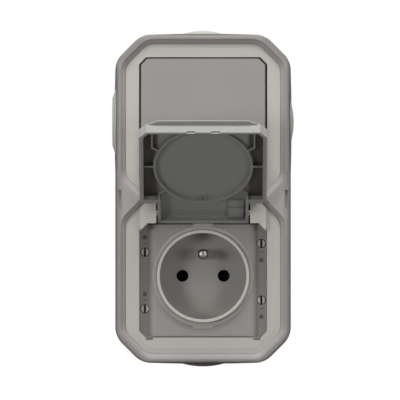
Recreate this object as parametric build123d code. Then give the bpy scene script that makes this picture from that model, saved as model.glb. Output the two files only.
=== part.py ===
from build123d import *
import math
import os

# Surface-mounted unit with a rocker switch above a flapped socket, in millimetres.
# Every piece is drawn as if the unit lay on its back: x to the right, y up the wall, z out of the wall.
# The last section stands the pieces up, with the wall behind them and z upward.

# The plug's well sets the size of a gang, and the two gangs set the size of the body
WELL_RADIUS = 19.8
WELL_RIM = 1.45
SEAL_WIDTH = 2.05
GANG_MARGIN = 12.0
WELL_RIM_RADIUS = WELL_RADIUS + WELL_RIM
SEAL_RADIUS = WELL_RIM_RADIUS + SEAL_WIDTH
SURROUND_SIZE = 2.0 * (SEAL_RADIUS + GANG_MARGIN)
GANG_GAP = 0.4
SIDE_MARGIN = 5.7
END_MARGIN = 5.9
FRAME_WIDTH = 6.0
ROCKER_GAP = 0.6
GANG_PITCH = SURROUND_SIZE + GANG_GAP
SWITCH_Y = GANG_PITCH / 2.0
SOCKET_Y = -GANG_PITCH / 2.0
BODY_WIDTH = SURROUND_SIZE + 2.0 * SIDE_MARGIN
BODY_HEIGHT = GANG_PITCH + SURROUND_SIZE + 2.0 * END_MARGIN
OPENING_SIZE = SURROUND_SIZE - 2.0 * FRAME_WIDTH
ROCKER_SIZE = OPENING_SIZE - 2.0 * ROCKER_GAP
SOCKET_TOP = SOCKET_Y + SURROUND_SIZE / 2.0

# Body
CORNER_CUT = 12.3
CORNER_RADIUS = 11.0
BOX_DEPTH = 38.0
BEZEL_DEPTH = 16.0
CREST_DEPTH = BOX_DEPTH + BEZEL_DEPTH
SIDE_LEAN = 2.05
WALL = 2.2
BOX_FLOOR = 2.4
CREST_ROUND = 0.7
NOTCH_HEIGHT = 8.2
NOTCH_DEPTH = 1.6
BACK_RIM = 5.5
BACK_RIB = 6.0
BACK_RECESS = 0.8

# Gasket between box and bezel
GASKET_THICKNESS = 0.5
GASKET_INSET = 0.5
GASKET_WIDTH = 1.4

# Light frames
SURROUND_CUT = 10.0
SURROUND_RADIUS = 7.0
SURROUND_SINK = 2.2
SURROUND_FACE = CREST_DEPTH - SURROUND_SINK
SURROUND_THICKNESS = 2.5
SURROUND_BEVEL = 0.35
SURROUND_BEVEL_WIDTH = 2.6
SURROUND_GAP = 0.12
OPENING_STEP = 1.2
OPENING_STEP_LENGTH = 3.4
BEZEL_SLOPE = 2.3
LEDGE_WIDTH = 3.0
LEDGE_THICKNESS = 2.3
SEAT_GAP = 0.1

# Rocker
ROCKER_CUT = 3.0
ROCKER_PROUD = 1.5
ROCKER_FACE = SURROUND_FACE + ROCKER_PROUD
ROCKER_PLATE = 1.8
ROCKER_SKIRT = 1.4
ROCKER_SKIRT_WALL = 1.6
ROCKER_ROUND = 0.6
ROCKER_TILT = 3.0
ROCKER_AXIS_SINK = 5.1
ROCKER_AXIS_DEPTH = ROCKER_FACE - ROCKER_AXIS_SINK
ROCKER_PIN_RADIUS = 1.6
CRADLE_HALF_WIDTH = 13.0
CRADLE_HALF_HEIGHT = 9.0
CRADLE_REACH = 2.2
CRADLE_BOTTOM = ROCKER_AXIS_DEPTH - CRADLE_REACH
NECK_RADIUS = 3.4
NECK_LENGTH = 7.0
NECK_BOTTOM = CRADLE_BOTTOM - NECK_LENGTH

# Switch base
SWITCH_BASE_SIZE = 46.0
SWITCH_BASE_DEPTH = 35.8
SWITCH_BASE_BACK = SURROUND_FACE - SWITCH_BASE_DEPTH
FLANGE_INSET = 3.8
FLANGE_SIZE = SURROUND_SIZE - 2.0 * FLANGE_INSET
FLANGE_THICKNESS = 2.4
FLANGE_CUT = 5.0
BASE_WALL = 1.6
BASE_FLOOR = 2.0
PIVOT_POST_WIDTH = 4.0
PIVOT_POST_HEIGHT = 8.0
SIDE_CLEARANCE = 0.4
RUNNING_CLEARANCE = 0.05
ROCKER_SEAL_WIDTH = 3.2
ROCKER_SEAL_HEIGHT = 1.0

# Toggle and contacts of the switch
PLUNGER_RADIUS = 1.6
PLUNGER_LENGTH = 11.0
SPRING_WIRE = 0.35
SPRING_TURNS = 5
CONTACT_HALF_LENGTH = 9.0
CONTACT_WIDTH = 6.0
CONTACT_THICKNESS = 1.2
CONTACT_AXIS_DROP = 19.8
PLUNGER_TIP_GAP = 2.8
CONTACT_AXIS_DEPTH = ROCKER_AXIS_DEPTH - CONTACT_AXIS_DROP
PLUNGER_TIP = CONTACT_AXIS_DEPTH + PLUNGER_TIP_GAP
CONTACT_TRUNNION = 1.2
CONTACT_TILT = 6.0
CONTACT_GAP = 0.35
STRIP_THICKNESS = 1.2
STRIP_WIDTH = 3.0
TERMINAL_WIDTH = 8.0
TERMINAL_HEIGHT = 7.0
TERMINAL_DEPTH = 10.0
TERMINAL_SPACING = 12.0
TERMINAL_SCREW_RADIUS = 1.5
TERMINAL_HEAD_RADIUS = 2.6
TERMINAL_HEAD_HEIGHT = 1.8
WIRE_HOLE_RADIUS = 1.9
WIRE_HOLE_LEVEL = 4.5
SLOT_WIDTH = 0.7
SLOT_DEPTH = 0.7

# Socket
WELL_SINK = 1.5
WELL_FACE = SURROUND_FACE - WELL_SINK
WELL_DEPTH = 15.0
WELL_FLOOR = 2.5
WELL_FLANGE = 1.6
WELL_FLANGE_REACH = 1.0
WELL_FLANGE_RADIUS = SEAL_RADIUS + WELL_FLANGE_REACH
SEAL_DROP = 2.4
SEAL_TAB_REACH = 0.9
SEAL_TAB_WIDTH = 9.2
PIN_SPACING = 19.0
PIN_HOLE_RADIUS = 2.75
EARTH_OFFSET = 10.0
EARTH_PIN_RADIUS = 2.4
EARTH_PIN_REACH = 13.4
EARTH_TIP_ROUND = 2.1
PLATE_SINK = 4.2
PLATE_FACE = SURROUND_FACE - PLATE_SINK
PLATE_GAP = 0.3
PLATE_MARGIN = 7.8
PLATE_WIDTH = OPENING_SIZE - 2.0 * PLATE_GAP
PLATE_BOTTOM = SOCKET_Y - SURROUND_SIZE / 2.0 + PLATE_MARGIN
PLATE_CUT = 3.4
CHANNEL_WIDTH = 4.0
CHANNEL_DEPTH = 2.1
SHOULDER_WIDTH = 4.0
SHOULDER_FOOT = 2.0
SOCKET_BASE_HEIGHT = 41.0
SOCKET_BASE_DEPTH = 39.8
SOCKET_BASE_BACK = SURROUND_FACE - SOCKET_BASE_DEPTH
TULIP_RADIUS = 3.4
TULIP_BORE = 2.5
TULIP_SLIT = 0.8
SHUTTER_THICKNESS = 1.8
SHUTTER_HEIGHT = 8.0
SHUTTER_TRAVEL = 6.4
SHUTTER_WINDOW = 6.0
SHUTTER_END = 1.6
SHUTTER_PLAY = 0.3
RAIL_WIDTH = 1.6
RAIL_DEPTH = 3.0
SHUTTER_WIRE = 0.25

# Quarter-turn locks
LOCK_INSET = 2.3
LOCK_X = PLATE_WIDTH / 2.0 - LOCK_INSET
LOCK_FAR = 15.0
LOCK_NEAR = 11.0
LOCK_HEAD_RADIUS = 1.8
LOCK_SLOT_WIDTH = 1.0
LOCK_SLOT_DEPTH = 2.6
LOCK_HEAD_PROUD = 0.25
LOCK_SHANK_RADIUS = 1.3
LOCK_RECESS_RADIUS = 2.1
LOCK_RECESS_DEPTH = 0.9
LOCK_CAM_REACH = 5.0
LOCK_CAM_WIDTH = 2.6
LOCK_CAM_THICKNESS = 1.5
LUG_THICKNESS = 1.6
LUG_HEIGHT = 6.0
LUG_GAP = 0.3
LUG_CLEARANCE = 2.9
LUG_START = LOCK_X + LUG_CLEARANCE

# Flap and hinge
HINGE_DROP = 6.3
HINGE_Y = SOCKET_TOP - HINGE_DROP
HINGE_SINK = 0.8
HINGE_DEPTH = SURROUND_FACE - HINGE_SINK
FLAP_OPEN_ANGLE = 137.0
FLAP_GAP = 0.3
FLAP_WIDTH = OPENING_SIZE - 2.0 * FLAP_GAP
FLAP_FACE = 3.2
FLAP_PLATE = 1.6
FLAP_RIM = -2.9
FLAP_SIDE_WALL = 1.9
FLAP_END_WALL = 1.1
FLAP_EAR_GAP = 0.9
FLAP_END_INSET = 4.1
FLAP_END = HINGE_Y - PLATE_BOTTOM - FLAP_END_INSET
FLAP_CUT = 3.2
FLAP_ROUND = 0.5
LIP_REACH = 2.2
LIP_THICKNESS = 0.9
LIP_FLAT_INSET = 8.7
LIP_INSET = 4.0
LIP_HALF_FLAT = FLAP_WIDTH / 2.0 - LIP_FLAT_INSET
LIP_HALF_WIDTH = FLAP_WIDTH / 2.0 - LIP_INSET
RING_INSET = 0.7
RING_RADIUS = SEAL_RADIUS - RING_INSET
RING_WALL = 0.9
RING_RIM = -0.4
RIB = 0.7
UPPER_RIB_INSET = 5.8
UPPER_RIB_X = FLAP_WIDTH / 2.0 - UPPER_RIB_INSET
UPPER_RIB_BEND = 11.6
UPPER_RIB_FOOT = (20.0, 9.6)
LOWER_RIB_BEND = 16.4
LOWER_RIB_FOOT = (16.8, 14.4)
GATE_RIB_X = 1.0
GATE_RIB_LENGTH = 3.0
GATE_RIB_WIDTH = 0.6
GATE_RIB_HEIGHT = 0.7
STOP_INSET = 2.3
STOP_WIDTH = 6.8
STOP_STEPS = ((-2.4, 3.2, -0.4), (3.0, 7.4, 0.5))
RIM_NOTCH_START = 3.7
RIM_NOTCH_END = 7.5
RIM_NOTCH_DEPTH = 0.9
RIM_NOTCH_WALL = 0.7
HINGE_BARREL_RADIUS = 4.8
HINGE_WALL = 1.6
HINGE_CHEEK = 1.4
HINGE_PIN_RADIUS = 1.3
HINGE_PIN_SINK = 0.3
EAR_INSET = 0.7
EAR_WIDTH = 7.1
EAR_SIDE_GAP = 0.7
EAR_START = 1.9
EAR_LENGTH = 9.1
EAR_POINT_LENGTH = 3.2
EAR_OUTER = OPENING_SIZE / 2.0 - EAR_INSET
EAR_INNER = EAR_OUTER - EAR_WIDTH
EAR_TOP = SOCKET_TOP - EAR_START
EAR_BOTTOM = EAR_TOP - EAR_LENGTH
EAR_POINT = EAR_BOTTOM - EAR_POINT_LENGTH
HINGE_HALF_WIDTH = EAR_INNER - EAR_SIDE_GAP
EAR_PROUD = 2.6
EAR_FACE = SURROUND_FACE + EAR_PROUD
EAR_BEVEL = 2.2
EAR_CUT = 2.0
EAR_PIN_DEPTH = 4.5
TROUGH_CLEARANCE = 0.35

# Cable entries and wall fixing
ENTRY_DROP = 18.0
ENTRY_DEPTH = BOX_DEPTH - ENTRY_DROP
ENTRY_PAD = 0.4
SWELL_HALF_LENGTH = 23.7
SEAT_MARGIN = 0.15
MEMBRANE_RADIUS = 15.7
MEMBRANE_RING_RADIUS = 12.0
PLUG_RADIUS = 10.0
ENTRY_PROUD = 0.6
ENTRY_FLANGE = 0.3
ENTRY_NECK_CLEARANCE = 0.1
ENTRY_LIP = 1.2
ENTRY_SKIN = 1.0
ENTRY_SLEEVE = 1.5
ENTRY_NECK_INSET = 3.2
MEMBRANE_PROUD = 0.55
MEMBRANE_DISH = 0.4
MEMBRANE_RING_WIDTH = 2.5
MEMBRANE_RING_SLOPE = 1.0
MEMBRANE_RING_EDGE = 0.8
FIXING_SPACING_X = 48.0
FIXING_SPACING_Y = 116.0
FIXING_HOLE_RADIUS = 2.3
FIXING_BOSS_RADIUS = 5.0
FIXING_BOSS_HEIGHT = 3.0

DIAGONAL = 2.0 - math.sqrt(2.0)
BEZEL_BACK = BOX_DEPTH + GASKET_THICKNESS
SEAT_DEPTH = SURROUND_FACE - SURROUND_THICKNESS
LEDGE_BACK = SEAT_DEPTH - LEDGE_THICKNESS
FLANGE_FRONT = LEDGE_BACK - SEAT_GAP
FLANGE_BACK = FLANGE_FRONT - FLANGE_THICKNESS
STOP_END = HINGE_HALF_WIDTH - STOP_INSET
STOP_START = STOP_END - STOP_WIDTH
FLAP_START = HINGE_Y - EAR_POINT + FLAP_EAR_GAP
HINGE_SWEEP = HINGE_BARREL_RADIUS + TROUGH_CLEARANCE


# Plain shapes
def octagon(width, height, cut, radius):
    """A rectangle with cut corners, its eight points rounded."""
    half_w = width / 2.0
    half_h = height / 2.0
    points = [
        (half_w, half_h - cut),
        (half_w - cut, half_h),
        (cut - half_w, half_h),
        (-half_w, half_h - cut),
        (-half_w, cut - half_h),
        (cut - half_w, -half_h),
        (half_w - cut, -half_h),
        (half_w, cut - half_h),
    ]
    shape = Polygon(*points, align=None)
    if radius > 0:
        shape = fillet(shape.vertices(), radius)
    return shape


def prism(sketch, back, front):
    return Pos(0, 0, back) * extrude(sketch, front - back, dir=(0, 0, 1))


def frustum(back_sketch, back, front_sketch, front):
    return loft([Pos(0, 0, back) * back_sketch, Pos(0, 0, front) * front_sketch], ruled=True)


def block(x0, x1, y0, y1, z0, z1):
    middle = Pos((x0 + x1) / 2.0, (y0 + y1) / 2.0, (z0 + z1) / 2.0)
    return middle * Box(abs(x1 - x0), abs(y1 - y0), abs(z1 - z0))


def rod(x, y, z0, z1, radius):
    return Pos(x, y, (z0 + z1) / 2.0) * Cylinder(radius, abs(z1 - z0))


def rod_across(x0, x1, y, z, radius):
    return Pos((x0 + x1) / 2.0, y, z) * Rot(0, 90, 0) * Cylinder(radius, abs(x1 - x0))


def turned(shape, y, z, degrees):
    """The shape turned about a line along x."""
    return Pos(0, y, z) * Rot(degrees, 0, 0) * Pos(0, -y, -z) * shape


def lean(depth):
    """How far the side walls have come in at a depth."""
    return SIDE_LEAN * depth / CREST_DEPTH


def body_outline(inset):
    return octagon(
        BODY_WIDTH - 2.0 * inset,
        BODY_HEIGHT - 2.0 * inset,
        CORNER_CUT - inset * DIAGONAL,
        max(CORNER_RADIUS - inset, 1.0),
    )


def gang_outline(centre, growth):
    outline = octagon(
        SURROUND_SIZE + 2.0 * growth,
        SURROUND_SIZE + 2.0 * growth,
        SURROUND_CUT + growth * DIAGONAL,
        max(SURROUND_RADIUS + growth, 0.5),
    )
    return Pos(0, centre) * outline


def opening_outline(size_x, size_y, cut):
    return octagon(size_x, size_y, cut, 0.4)


# Case
ENTRIES = {
    "left_membrane": (-BODY_WIDTH / 2.0, SWITCH_Y, 180.0, MEMBRANE_RADIUS),
    "right_plug": (BODY_WIDTH / 2.0, SWITCH_Y, 0.0, PLUG_RADIUS),
    "top_plug": (0.0, BODY_HEIGHT / 2.0, 90.0, PLUG_RADIUS),
    "bottom_plug": (0.0, -BODY_HEIGHT / 2.0, 270.0, PLUG_RADIUS),
}
LOCKS = {
    "lock_upper_left": (-1, LOCK_NEAR),
    "lock_lower_left": (-1, -LOCK_FAR),
    "lock_upper_right": (1, LOCK_FAR),
    "lock_lower_right": (1, -LOCK_NEAR),
}
CAM_TOP = BOX_DEPTH - LUG_THICKNESS - LUG_GAP


def entry_frame(x, y, turn):
    """Places a shape drawn along +z on a side wall, pointing out of it."""
    return Pos(x, y, ENTRY_DEPTH) * Rot(0, 0, turn) * Rot(0, 90, 0)


def swell_outline(x, y, turn, inset):
    """A shallow bow on a side of the body's outline."""
    half = SWELL_HALF_LENGTH
    bow = ThreePointArc((-half, 0), (0, ENTRY_PAD), (half, 0))
    root = Polyline((half, 0), (half, -WALL), (-half, -WALL), (-half, 0))
    return Pos(x, y) * Rot(0, 0, turn - 90.0) * Pos(0, -inset) * make_face(bow.edges() + root.edges())


def entry_swell(x, y, turn):
    """The bowed stretch of a side wall around a cable entry."""
    back = swell_outline(x, y, turn, 0)
    front = swell_outline(x, y, turn, lean(BOX_DEPTH))
    return frustum(back, 0, front, BOX_DEPTH)


def seat_level(radius):
    """The level of a cable entry's flat seat, sunk to where the wall leans in most under the flange."""
    return ENTRY_PAD - lean(ENTRY_DEPTH + radius)


def neck_radius(radius):
    return radius - ENTRY_NECK_INSET


def fixing_places():
    half_x = FIXING_SPACING_X / 2.0
    half_y = FIXING_SPACING_Y / 2.0
    return [(x, y) for x in (-half_x, half_x) for y in (-half_y, half_y)]


def back_pockets():
    """The shallow pockets behind the box, with a rim, a cross rib and pads for the screws between them."""
    pockets = prism(body_outline(BACK_RIM), -1.0, BACK_RECESS)
    half = BACK_RIB / 2.0
    pockets -= block(-half, half, -BODY_HEIGHT, BODY_HEIGHT, -2.0, BACK_RECESS + 1.0)
    pockets -= block(-BODY_WIDTH, BODY_WIDTH, -half, half, -2.0, BACK_RECESS + 1.0)
    for x, y in fixing_places():
        pockets -= rod(x, y, -2.0, BACK_RECESS + 1.0, FIXING_BOSS_RADIUS)
    return pockets


def back_box():
    shell = frustum(body_outline(0), 0, body_outline(lean(BOX_DEPTH)), BOX_DEPTH)
    for x, y, turn, _ in ENTRIES.values():
        shell += entry_swell(x, y, turn)
    inner_back = body_outline(WALL + lean(BOX_FLOOR))
    inner_front = body_outline(WALL + lean(BOX_DEPTH))
    shell -= frustum(inner_back, BOX_FLOOR, inner_front, BOX_DEPTH + 0.01)
    for x, y, turn, radius in ENTRIES.values():
        hole = Cylinder(neck_radius(radius), 4.0 * WALL)
        hole += prism(Circle(radius + SEAT_MARGIN), seat_level(radius), WALL)
        shell -= entry_frame(x, y, turn) * hole
    shell -= back_pockets()
    boss_top = BOX_FLOOR + FIXING_BOSS_HEIGHT
    for x, y in fixing_places():
        shell += rod(x, y, BACK_RECESS, boss_top, FIXING_BOSS_RADIUS)
        shell -= rod(x, y, -1.0, boss_top + 1.0, FIXING_HOLE_RADIUS)
    inner_wall = BODY_WIDTH / 2.0 - WALL / 2.0 - lean(BOX_DEPTH)
    for side, offset in LOCKS.values():
        y = SOCKET_Y + offset
        shell += block(
            side * LUG_START, side * inner_wall,
            y - LUG_HEIGHT / 2.0, y + LUG_HEIGHT / 2.0,
            BOX_DEPTH - LUG_THICKNESS, BOX_DEPTH,
        )
    return shell


def box_gasket():
    start = lean(BOX_DEPTH) + GASKET_INSET
    ring = body_outline(start) - body_outline(start + GASKET_WIDTH)
    return prism(ring, BOX_DEPTH, BEZEL_BACK)


def front_bezel():
    shell = frustum(body_outline(lean(BEZEL_BACK)), BEZEL_BACK, body_outline(SIDE_LEAN), CREST_DEPTH)
    crest = shell.faces().sort_by(Axis.Z)[-1]
    shell = fillet(crest.edges(), CREST_ROUND)
    inner = body_outline(WALL + lean(BEZEL_BACK))
    shell -= prism(inner, BEZEL_BACK - 1.0, LEDGE_BACK)
    join = SURROUND_SIZE / 2.0 - SURROUND_CUT + SURROUND_GAP
    for centre in (SWITCH_Y, SOCKET_Y):
        shell -= prism(gang_outline(centre, -LEDGE_WIDTH), LEDGE_BACK - 1.0, CREST_DEPTH)
        shell -= prism(gang_outline(centre, SURROUND_GAP), SEAT_DEPTH, CREST_DEPTH)
        foot = gang_outline(centre, SURROUND_GAP)
        brow = gang_outline(centre, SURROUND_GAP + BEZEL_SLOPE)
        shell -= frustum(foot, SURROUND_FACE - 0.1, brow, CREST_DEPTH + 0.01)
    shell -= block(-join, join, -LEDGE_WIDTH, LEDGE_WIDTH, SEAT_DEPTH, CREST_DEPTH + 1.0)
    shell -= rod_across(-EAR_INNER, EAR_INNER, HINGE_Y, HINGE_DEPTH, HINGE_SWEEP)
    edge = BODY_WIDTH / 2.0 - lean(CREST_DEPTH)
    for side in (-1, 1):
        notch = Pos(side * (edge + NOTCH_DEPTH), 0, CREST_DEPTH) * Box(
            4.0 * NOTCH_DEPTH, NOTCH_HEIGHT, 2.0 * NOTCH_DEPTH
        )
        shell -= notch
    return shell


def surround(centre):
    plate = prism(gang_outline(centre, 0), SEAT_DEPTH, SURROUND_FACE)
    outer_edges = plate.faces().sort_by(Axis.Z)[-1].edges()
    return chamfer(outer_edges, SURROUND_BEVEL, SURROUND_BEVEL_WIDTH)


def switch_surround():
    opening = Pos(0, SWITCH_Y) * opening_outline(OPENING_SIZE, OPENING_SIZE, ROCKER_CUT + 0.2)
    return surround(SWITCH_Y) - prism(opening, SEAT_DEPTH - 1.0, SURROUND_FACE + 1.0)


def ear(side):
    """A raised hinge post with its outer edge bevelled."""
    points = [
        (EAR_INNER, EAR_TOP),
        (EAR_OUTER - EAR_CUT, EAR_TOP),
        (EAR_OUTER, EAR_TOP - EAR_CUT),
        (EAR_OUTER, EAR_POINT),
        (EAR_OUTER - (EAR_BOTTOM - EAR_POINT), EAR_BOTTOM),
        (EAR_INNER, EAR_BOTTOM),
    ]
    outline = Polygon(*[(side * x, y) for x, y in points], align=None)
    post = prism(outline, SEAT_DEPTH, EAR_FACE)
    slope = Polygon(
        (EAR_OUTER - EAR_BEVEL, EAR_FACE + 0.01),
        (EAR_OUTER + 1.0, EAR_FACE + 0.01),
        (EAR_OUTER + 1.0, SURROUND_FACE),
        (EAR_OUTER, SURROUND_FACE),
        align=None,
    )
    cutter = Pos(0, EAR_TOP + 1.0, 0) * Rot(90, 0, 0) * extrude(slope, EAR_TOP - EAR_POINT + 2.0)
    if side < 0:
        cutter = mirror(cutter, about=Plane.YZ)
    return post - cutter


def socket_surround():
    plate = surround(SOCKET_Y)
    bottom = PLATE_BOTTOM - ROCKER_GAP
    height = EAR_BOTTOM - bottom
    opening = Pos(0, (EAR_BOTTOM + bottom) / 2.0) * opening_outline(OPENING_SIZE, height, ROCKER_CUT)
    plate -= prism(opening, SEAT_DEPTH - 1.0, SURROUND_FACE + 1.0)
    step_end = OPENING_SIZE / 2.0 - ROCKER_CUT
    for side in (-1, 1):
        ends = sorted((side * step_end, side * (step_end - OPENING_STEP_LENGTH)))
        plate -= block(*ends, bottom - OPENING_STEP, bottom + 0.5, SEAT_DEPTH - 1.0, SURROUND_FACE + 1.0)
        plate += ear(side)
    plate -= block(
        -EAR_INNER, EAR_INNER, EAR_BOTTOM - 1.0, SOCKET_TOP + GANG_GAP, SEAT_DEPTH - 1.0, EAR_FACE + 1.0
    )
    for side in (-1, 1):
        bore = rod_across(
            side * (EAR_INNER - 1.0), side * (EAR_INNER + EAR_PIN_DEPTH),
            HINGE_Y, HINGE_DEPTH, HINGE_PIN_RADIUS,
        )
        plate -= bore
    return plate


def entry_collar(radius):
    """Profile points of a soft entry from its flange edge round to the inner end of its sleeve."""
    neck = neck_radius(radius) - ENTRY_NECK_CLEARANCE
    seat = seat_level(radius)
    end = ENTRY_PAD - WALL - ENTRY_LIP
    return [(radius, seat), (neck, seat), (neck, end), (neck - ENTRY_SLEEVE, end)]


def left_membrane():
    x, y, turn, radius = ENTRIES["left_membrane"]
    crown = ENTRY_PAD + MEMBRANE_PROUD
    dish = crown - MEMBRANE_DISH
    collar = entry_collar(radius)
    points = [
        (0, dish - ENTRY_SKIN),
        (0, dish),
        (MEMBRANE_RING_RADIUS - MEMBRANE_RING_WIDTH - MEMBRANE_RING_SLOPE, dish),
        (MEMBRANE_RING_RADIUS - MEMBRANE_RING_WIDTH, crown),
        (MEMBRANE_RING_RADIUS - MEMBRANE_RING_EDGE, crown),
        (radius, seat_level(radius) + ENTRY_FLANGE),
        *collar,
        (collar[-1][0], dish - ENTRY_SKIN),
    ]
    return entry_frame(x, y, turn) * revolve(Plane.XZ * Polygon(*points, align=None), Axis.Z)


def round_plug(name):
    """A soft plug with a shallow dome."""
    x, y, turn, radius = ENTRIES[name]
    dome = ENTRY_PAD + ENTRY_PROUD
    edge = seat_level(radius) + ENTRY_FLANGE
    collar = entry_collar(radius)
    crown = ThreePointArc((0, dome), (radius / 2.0, dome - (dome - edge) / 4.0), (radius, edge))
    inside = Polyline(
        (radius, edge), *collar, (collar[-1][0], dome - ENTRY_SKIN), (0, dome - ENTRY_SKIN), (0, dome)
    )
    section = make_face(crown.edges() + inside.edges())
    return entry_frame(x, y, turn) * revolve(Plane.XZ * section, Axis.Z)


# Switch
def rocker_outline(inset):
    size = ROCKER_SIZE - 2.0 * inset
    return Pos(0, SWITCH_Y) * octagon(size, size, ROCKER_CUT - inset * DIAGONAL, 0.3)


def at_rest_tilt(shape):
    """The rocker rests with its upper end pressed in."""
    return turned(shape, SWITCH_Y, ROCKER_AXIS_DEPTH, -ROCKER_TILT)


PLATE_BACK = ROCKER_FACE - ROCKER_PLATE


def rocker_cap():
    cap = prism(rocker_outline(0), PLATE_BACK - ROCKER_SKIRT, ROCKER_FACE)
    cap = fillet(cap.faces().sort_by(Axis.Z)[-1].edges(), ROCKER_ROUND)
    cap -= prism(rocker_outline(ROCKER_SKIRT_WALL), PLATE_BACK - ROCKER_SKIRT - 1.0, PLATE_BACK)
    return at_rest_tilt(cap)


def rocker_cradle():
    half_w = CRADLE_HALF_WIDTH
    half_h = CRADLE_HALF_HEIGHT
    cradle = block(-half_w, half_w, SWITCH_Y - half_h, SWITCH_Y + half_h, CRADLE_BOTTOM, PLATE_BACK)
    reach = half_w + SIDE_CLEARANCE + PIVOT_POST_WIDTH
    cradle += rod_across(-reach, reach, SWITCH_Y, ROCKER_AXIS_DEPTH, ROCKER_PIN_RADIUS)
    cradle += rod(0, SWITCH_Y, NECK_BOTTOM, CRADLE_BOTTOM + 0.5, NECK_RADIUS)
    bore = PLUNGER_RADIUS + 0.2
    cradle -= rod(0, SWITCH_Y, NECK_BOTTOM - 1.0, PLATE_BACK - 2.0, bore)
    return at_rest_tilt(cradle)


def toggle_plunger():
    tip = Pos(0, SWITCH_Y, PLUNGER_TIP + PLUNGER_RADIUS) * Sphere(PLUNGER_RADIUS)
    body = rod(0, SWITCH_Y, PLUNGER_TIP + PLUNGER_RADIUS, PLUNGER_TIP + PLUNGER_LENGTH, PLUNGER_RADIUS)
    return at_rest_tilt(tip + body)


def coil(radius, length, turns, wire):
    """A helical spring along z, starting at z = 0."""
    pitch = (length - 2.0 * wire) / turns
    path = Helix(pitch, length - 2.0 * wire, radius)
    start = path @ 0
    section = Plane(origin=start, z_dir=path % 0) * Circle(wire)
    return Pos(0, 0, wire) * sweep(section, path=path)


def toggle_spring():
    length = PLATE_BACK - 2.0 - (PLUNGER_TIP + PLUNGER_LENGTH)
    body = coil(PLUNGER_RADIUS - SPRING_WIRE, length, SPRING_TURNS, SPRING_WIRE)
    return at_rest_tilt(Pos(0, SWITCH_Y, PLUNGER_TIP + PLUNGER_LENGTH) * body)


def switch_base():
    half = SWITCH_BASE_SIZE / 2.0
    inner = half - BASE_WALL
    floor = SWITCH_BASE_BACK + BASE_FLOOR
    base = block(-half, half, SWITCH_Y - half, SWITCH_Y + half, SWITCH_BASE_BACK, FLANGE_FRONT)
    flange = Pos(0, SWITCH_Y) * octagon(FLANGE_SIZE, FLANGE_SIZE, FLANGE_CUT, 0)
    base += prism(flange, FLANGE_BACK, FLANGE_FRONT)
    base -= block(-inner, inner, SWITCH_Y - inner, SWITCH_Y + inner, floor, FLANGE_FRONT + 1.0)
    post_in = CRADLE_HALF_WIDTH + SIDE_CLEARANCE
    post_out = post_in + PIVOT_POST_WIDTH
    post_half = PIVOT_POST_HEIGHT / 2.0
    post_top = ROCKER_AXIS_DEPTH + ROCKER_PIN_RADIUS + 1.0
    for side in (-1, 1):
        base += block(
            side * post_in, side * post_out, SWITCH_Y - post_half, SWITCH_Y + post_half,
            floor - 0.5, post_top,
        )
    bore = ROCKER_PIN_RADIUS + RUNNING_CLEARANCE
    base -= rod_across(-post_out - 1.0, post_out + 1.0, SWITCH_Y, ROCKER_AXIS_DEPTH, bore)
    return base


def rocker_seal():
    outer_size = SURROUND_SIZE - 2.0 * (LEDGE_WIDTH + SIDE_CLEARANCE)
    outer_cut = SURROUND_CUT - LEDGE_WIDTH * DIAGONAL
    inner_size = outer_size - 2.0 * ROCKER_SEAL_WIDTH
    inner_cut = outer_cut - ROCKER_SEAL_WIDTH * DIAGONAL
    outer = octagon(outer_size, outer_size, outer_cut, SURROUND_RADIUS / 2.0)
    inner = octagon(inner_size, inner_size, inner_cut, SURROUND_RADIUS / 2.0)
    ring = Pos(0, SWITCH_Y) * (outer - inner)
    return prism(ring, FLANGE_FRONT, FLANGE_FRONT + ROCKER_SEAL_HEIGHT)


SWITCH_FLOOR = SWITCH_BASE_BACK + BASE_FLOOR
CHEEK_IN = CONTACT_WIDTH / 2.0 + SIDE_CLEARANCE
CHEEK_OUT = CHEEK_IN + STRIP_THICKNESS
TERMINAL_Y = (
    SWITCH_Y - SWITCH_BASE_SIZE / 2.0 + BASE_WALL + SIDE_CLEARANCE + TERMINAL_HEIGHT / 2.0
)


def moving_contact():
    half = CONTACT_HALF_LENGTH
    width = CONTACT_WIDTH / 2.0
    under = CONTACT_AXIS_DEPTH + 0.4
    arm = block(-width, width, SWITCH_Y - half, SWITCH_Y + half, under, under + CONTACT_THICKNESS)
    arm += rod_across(-CHEEK_OUT, CHEEK_OUT, SWITCH_Y, CONTACT_AXIS_DEPTH, CONTACT_TRUNNION)
    return turned(arm, SWITCH_Y, CONTACT_AXIS_DEPTH, CONTACT_TILT)


def terminal(x, y, floor):
    """A brass clamp block standing on a base floor, bored for its screw."""
    half_w = TERMINAL_WIDTH / 2.0
    half_h = TERMINAL_HEIGHT / 2.0
    clamp = block(x - half_w, x + half_w, y - half_h, y + half_h, floor, floor + TERMINAL_DEPTH)
    wire_level = floor + WIRE_HOLE_LEVEL
    top = floor + TERMINAL_DEPTH
    clamp -= rod(x, y, wire_level, top + 1.0, TERMINAL_SCREW_RADIUS + RUNNING_CLEARANCE)
    return clamp - Pos(x, y, wire_level) * Rot(90, 0, 0) * Cylinder(WIRE_HOLE_RADIUS, TERMINAL_HEIGHT + 2.0)


def terminal_screw(x, y, floor):
    """A slotted screw in a clamp block, its head on the block."""
    top = floor + TERMINAL_DEPTH
    screw = rod(x, y, floor + WIRE_HOLE_LEVEL + WIRE_HOLE_RADIUS, top + 0.2, TERMINAL_SCREW_RADIUS)
    screw += rod(x, y, top, top + TERMINAL_HEAD_HEIGHT, TERMINAL_HEAD_RADIUS)
    slot_top = top + TERMINAL_HEAD_HEIGHT
    return screw - block(
        x - TERMINAL_HEAD_RADIUS - 1.0, x + TERMINAL_HEAD_RADIUS + 1.0,
        y - SLOT_WIDTH / 2.0, y + SLOT_WIDTH / 2.0,
        slot_top - SLOT_DEPTH, slot_top + 1.0,
    )


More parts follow.
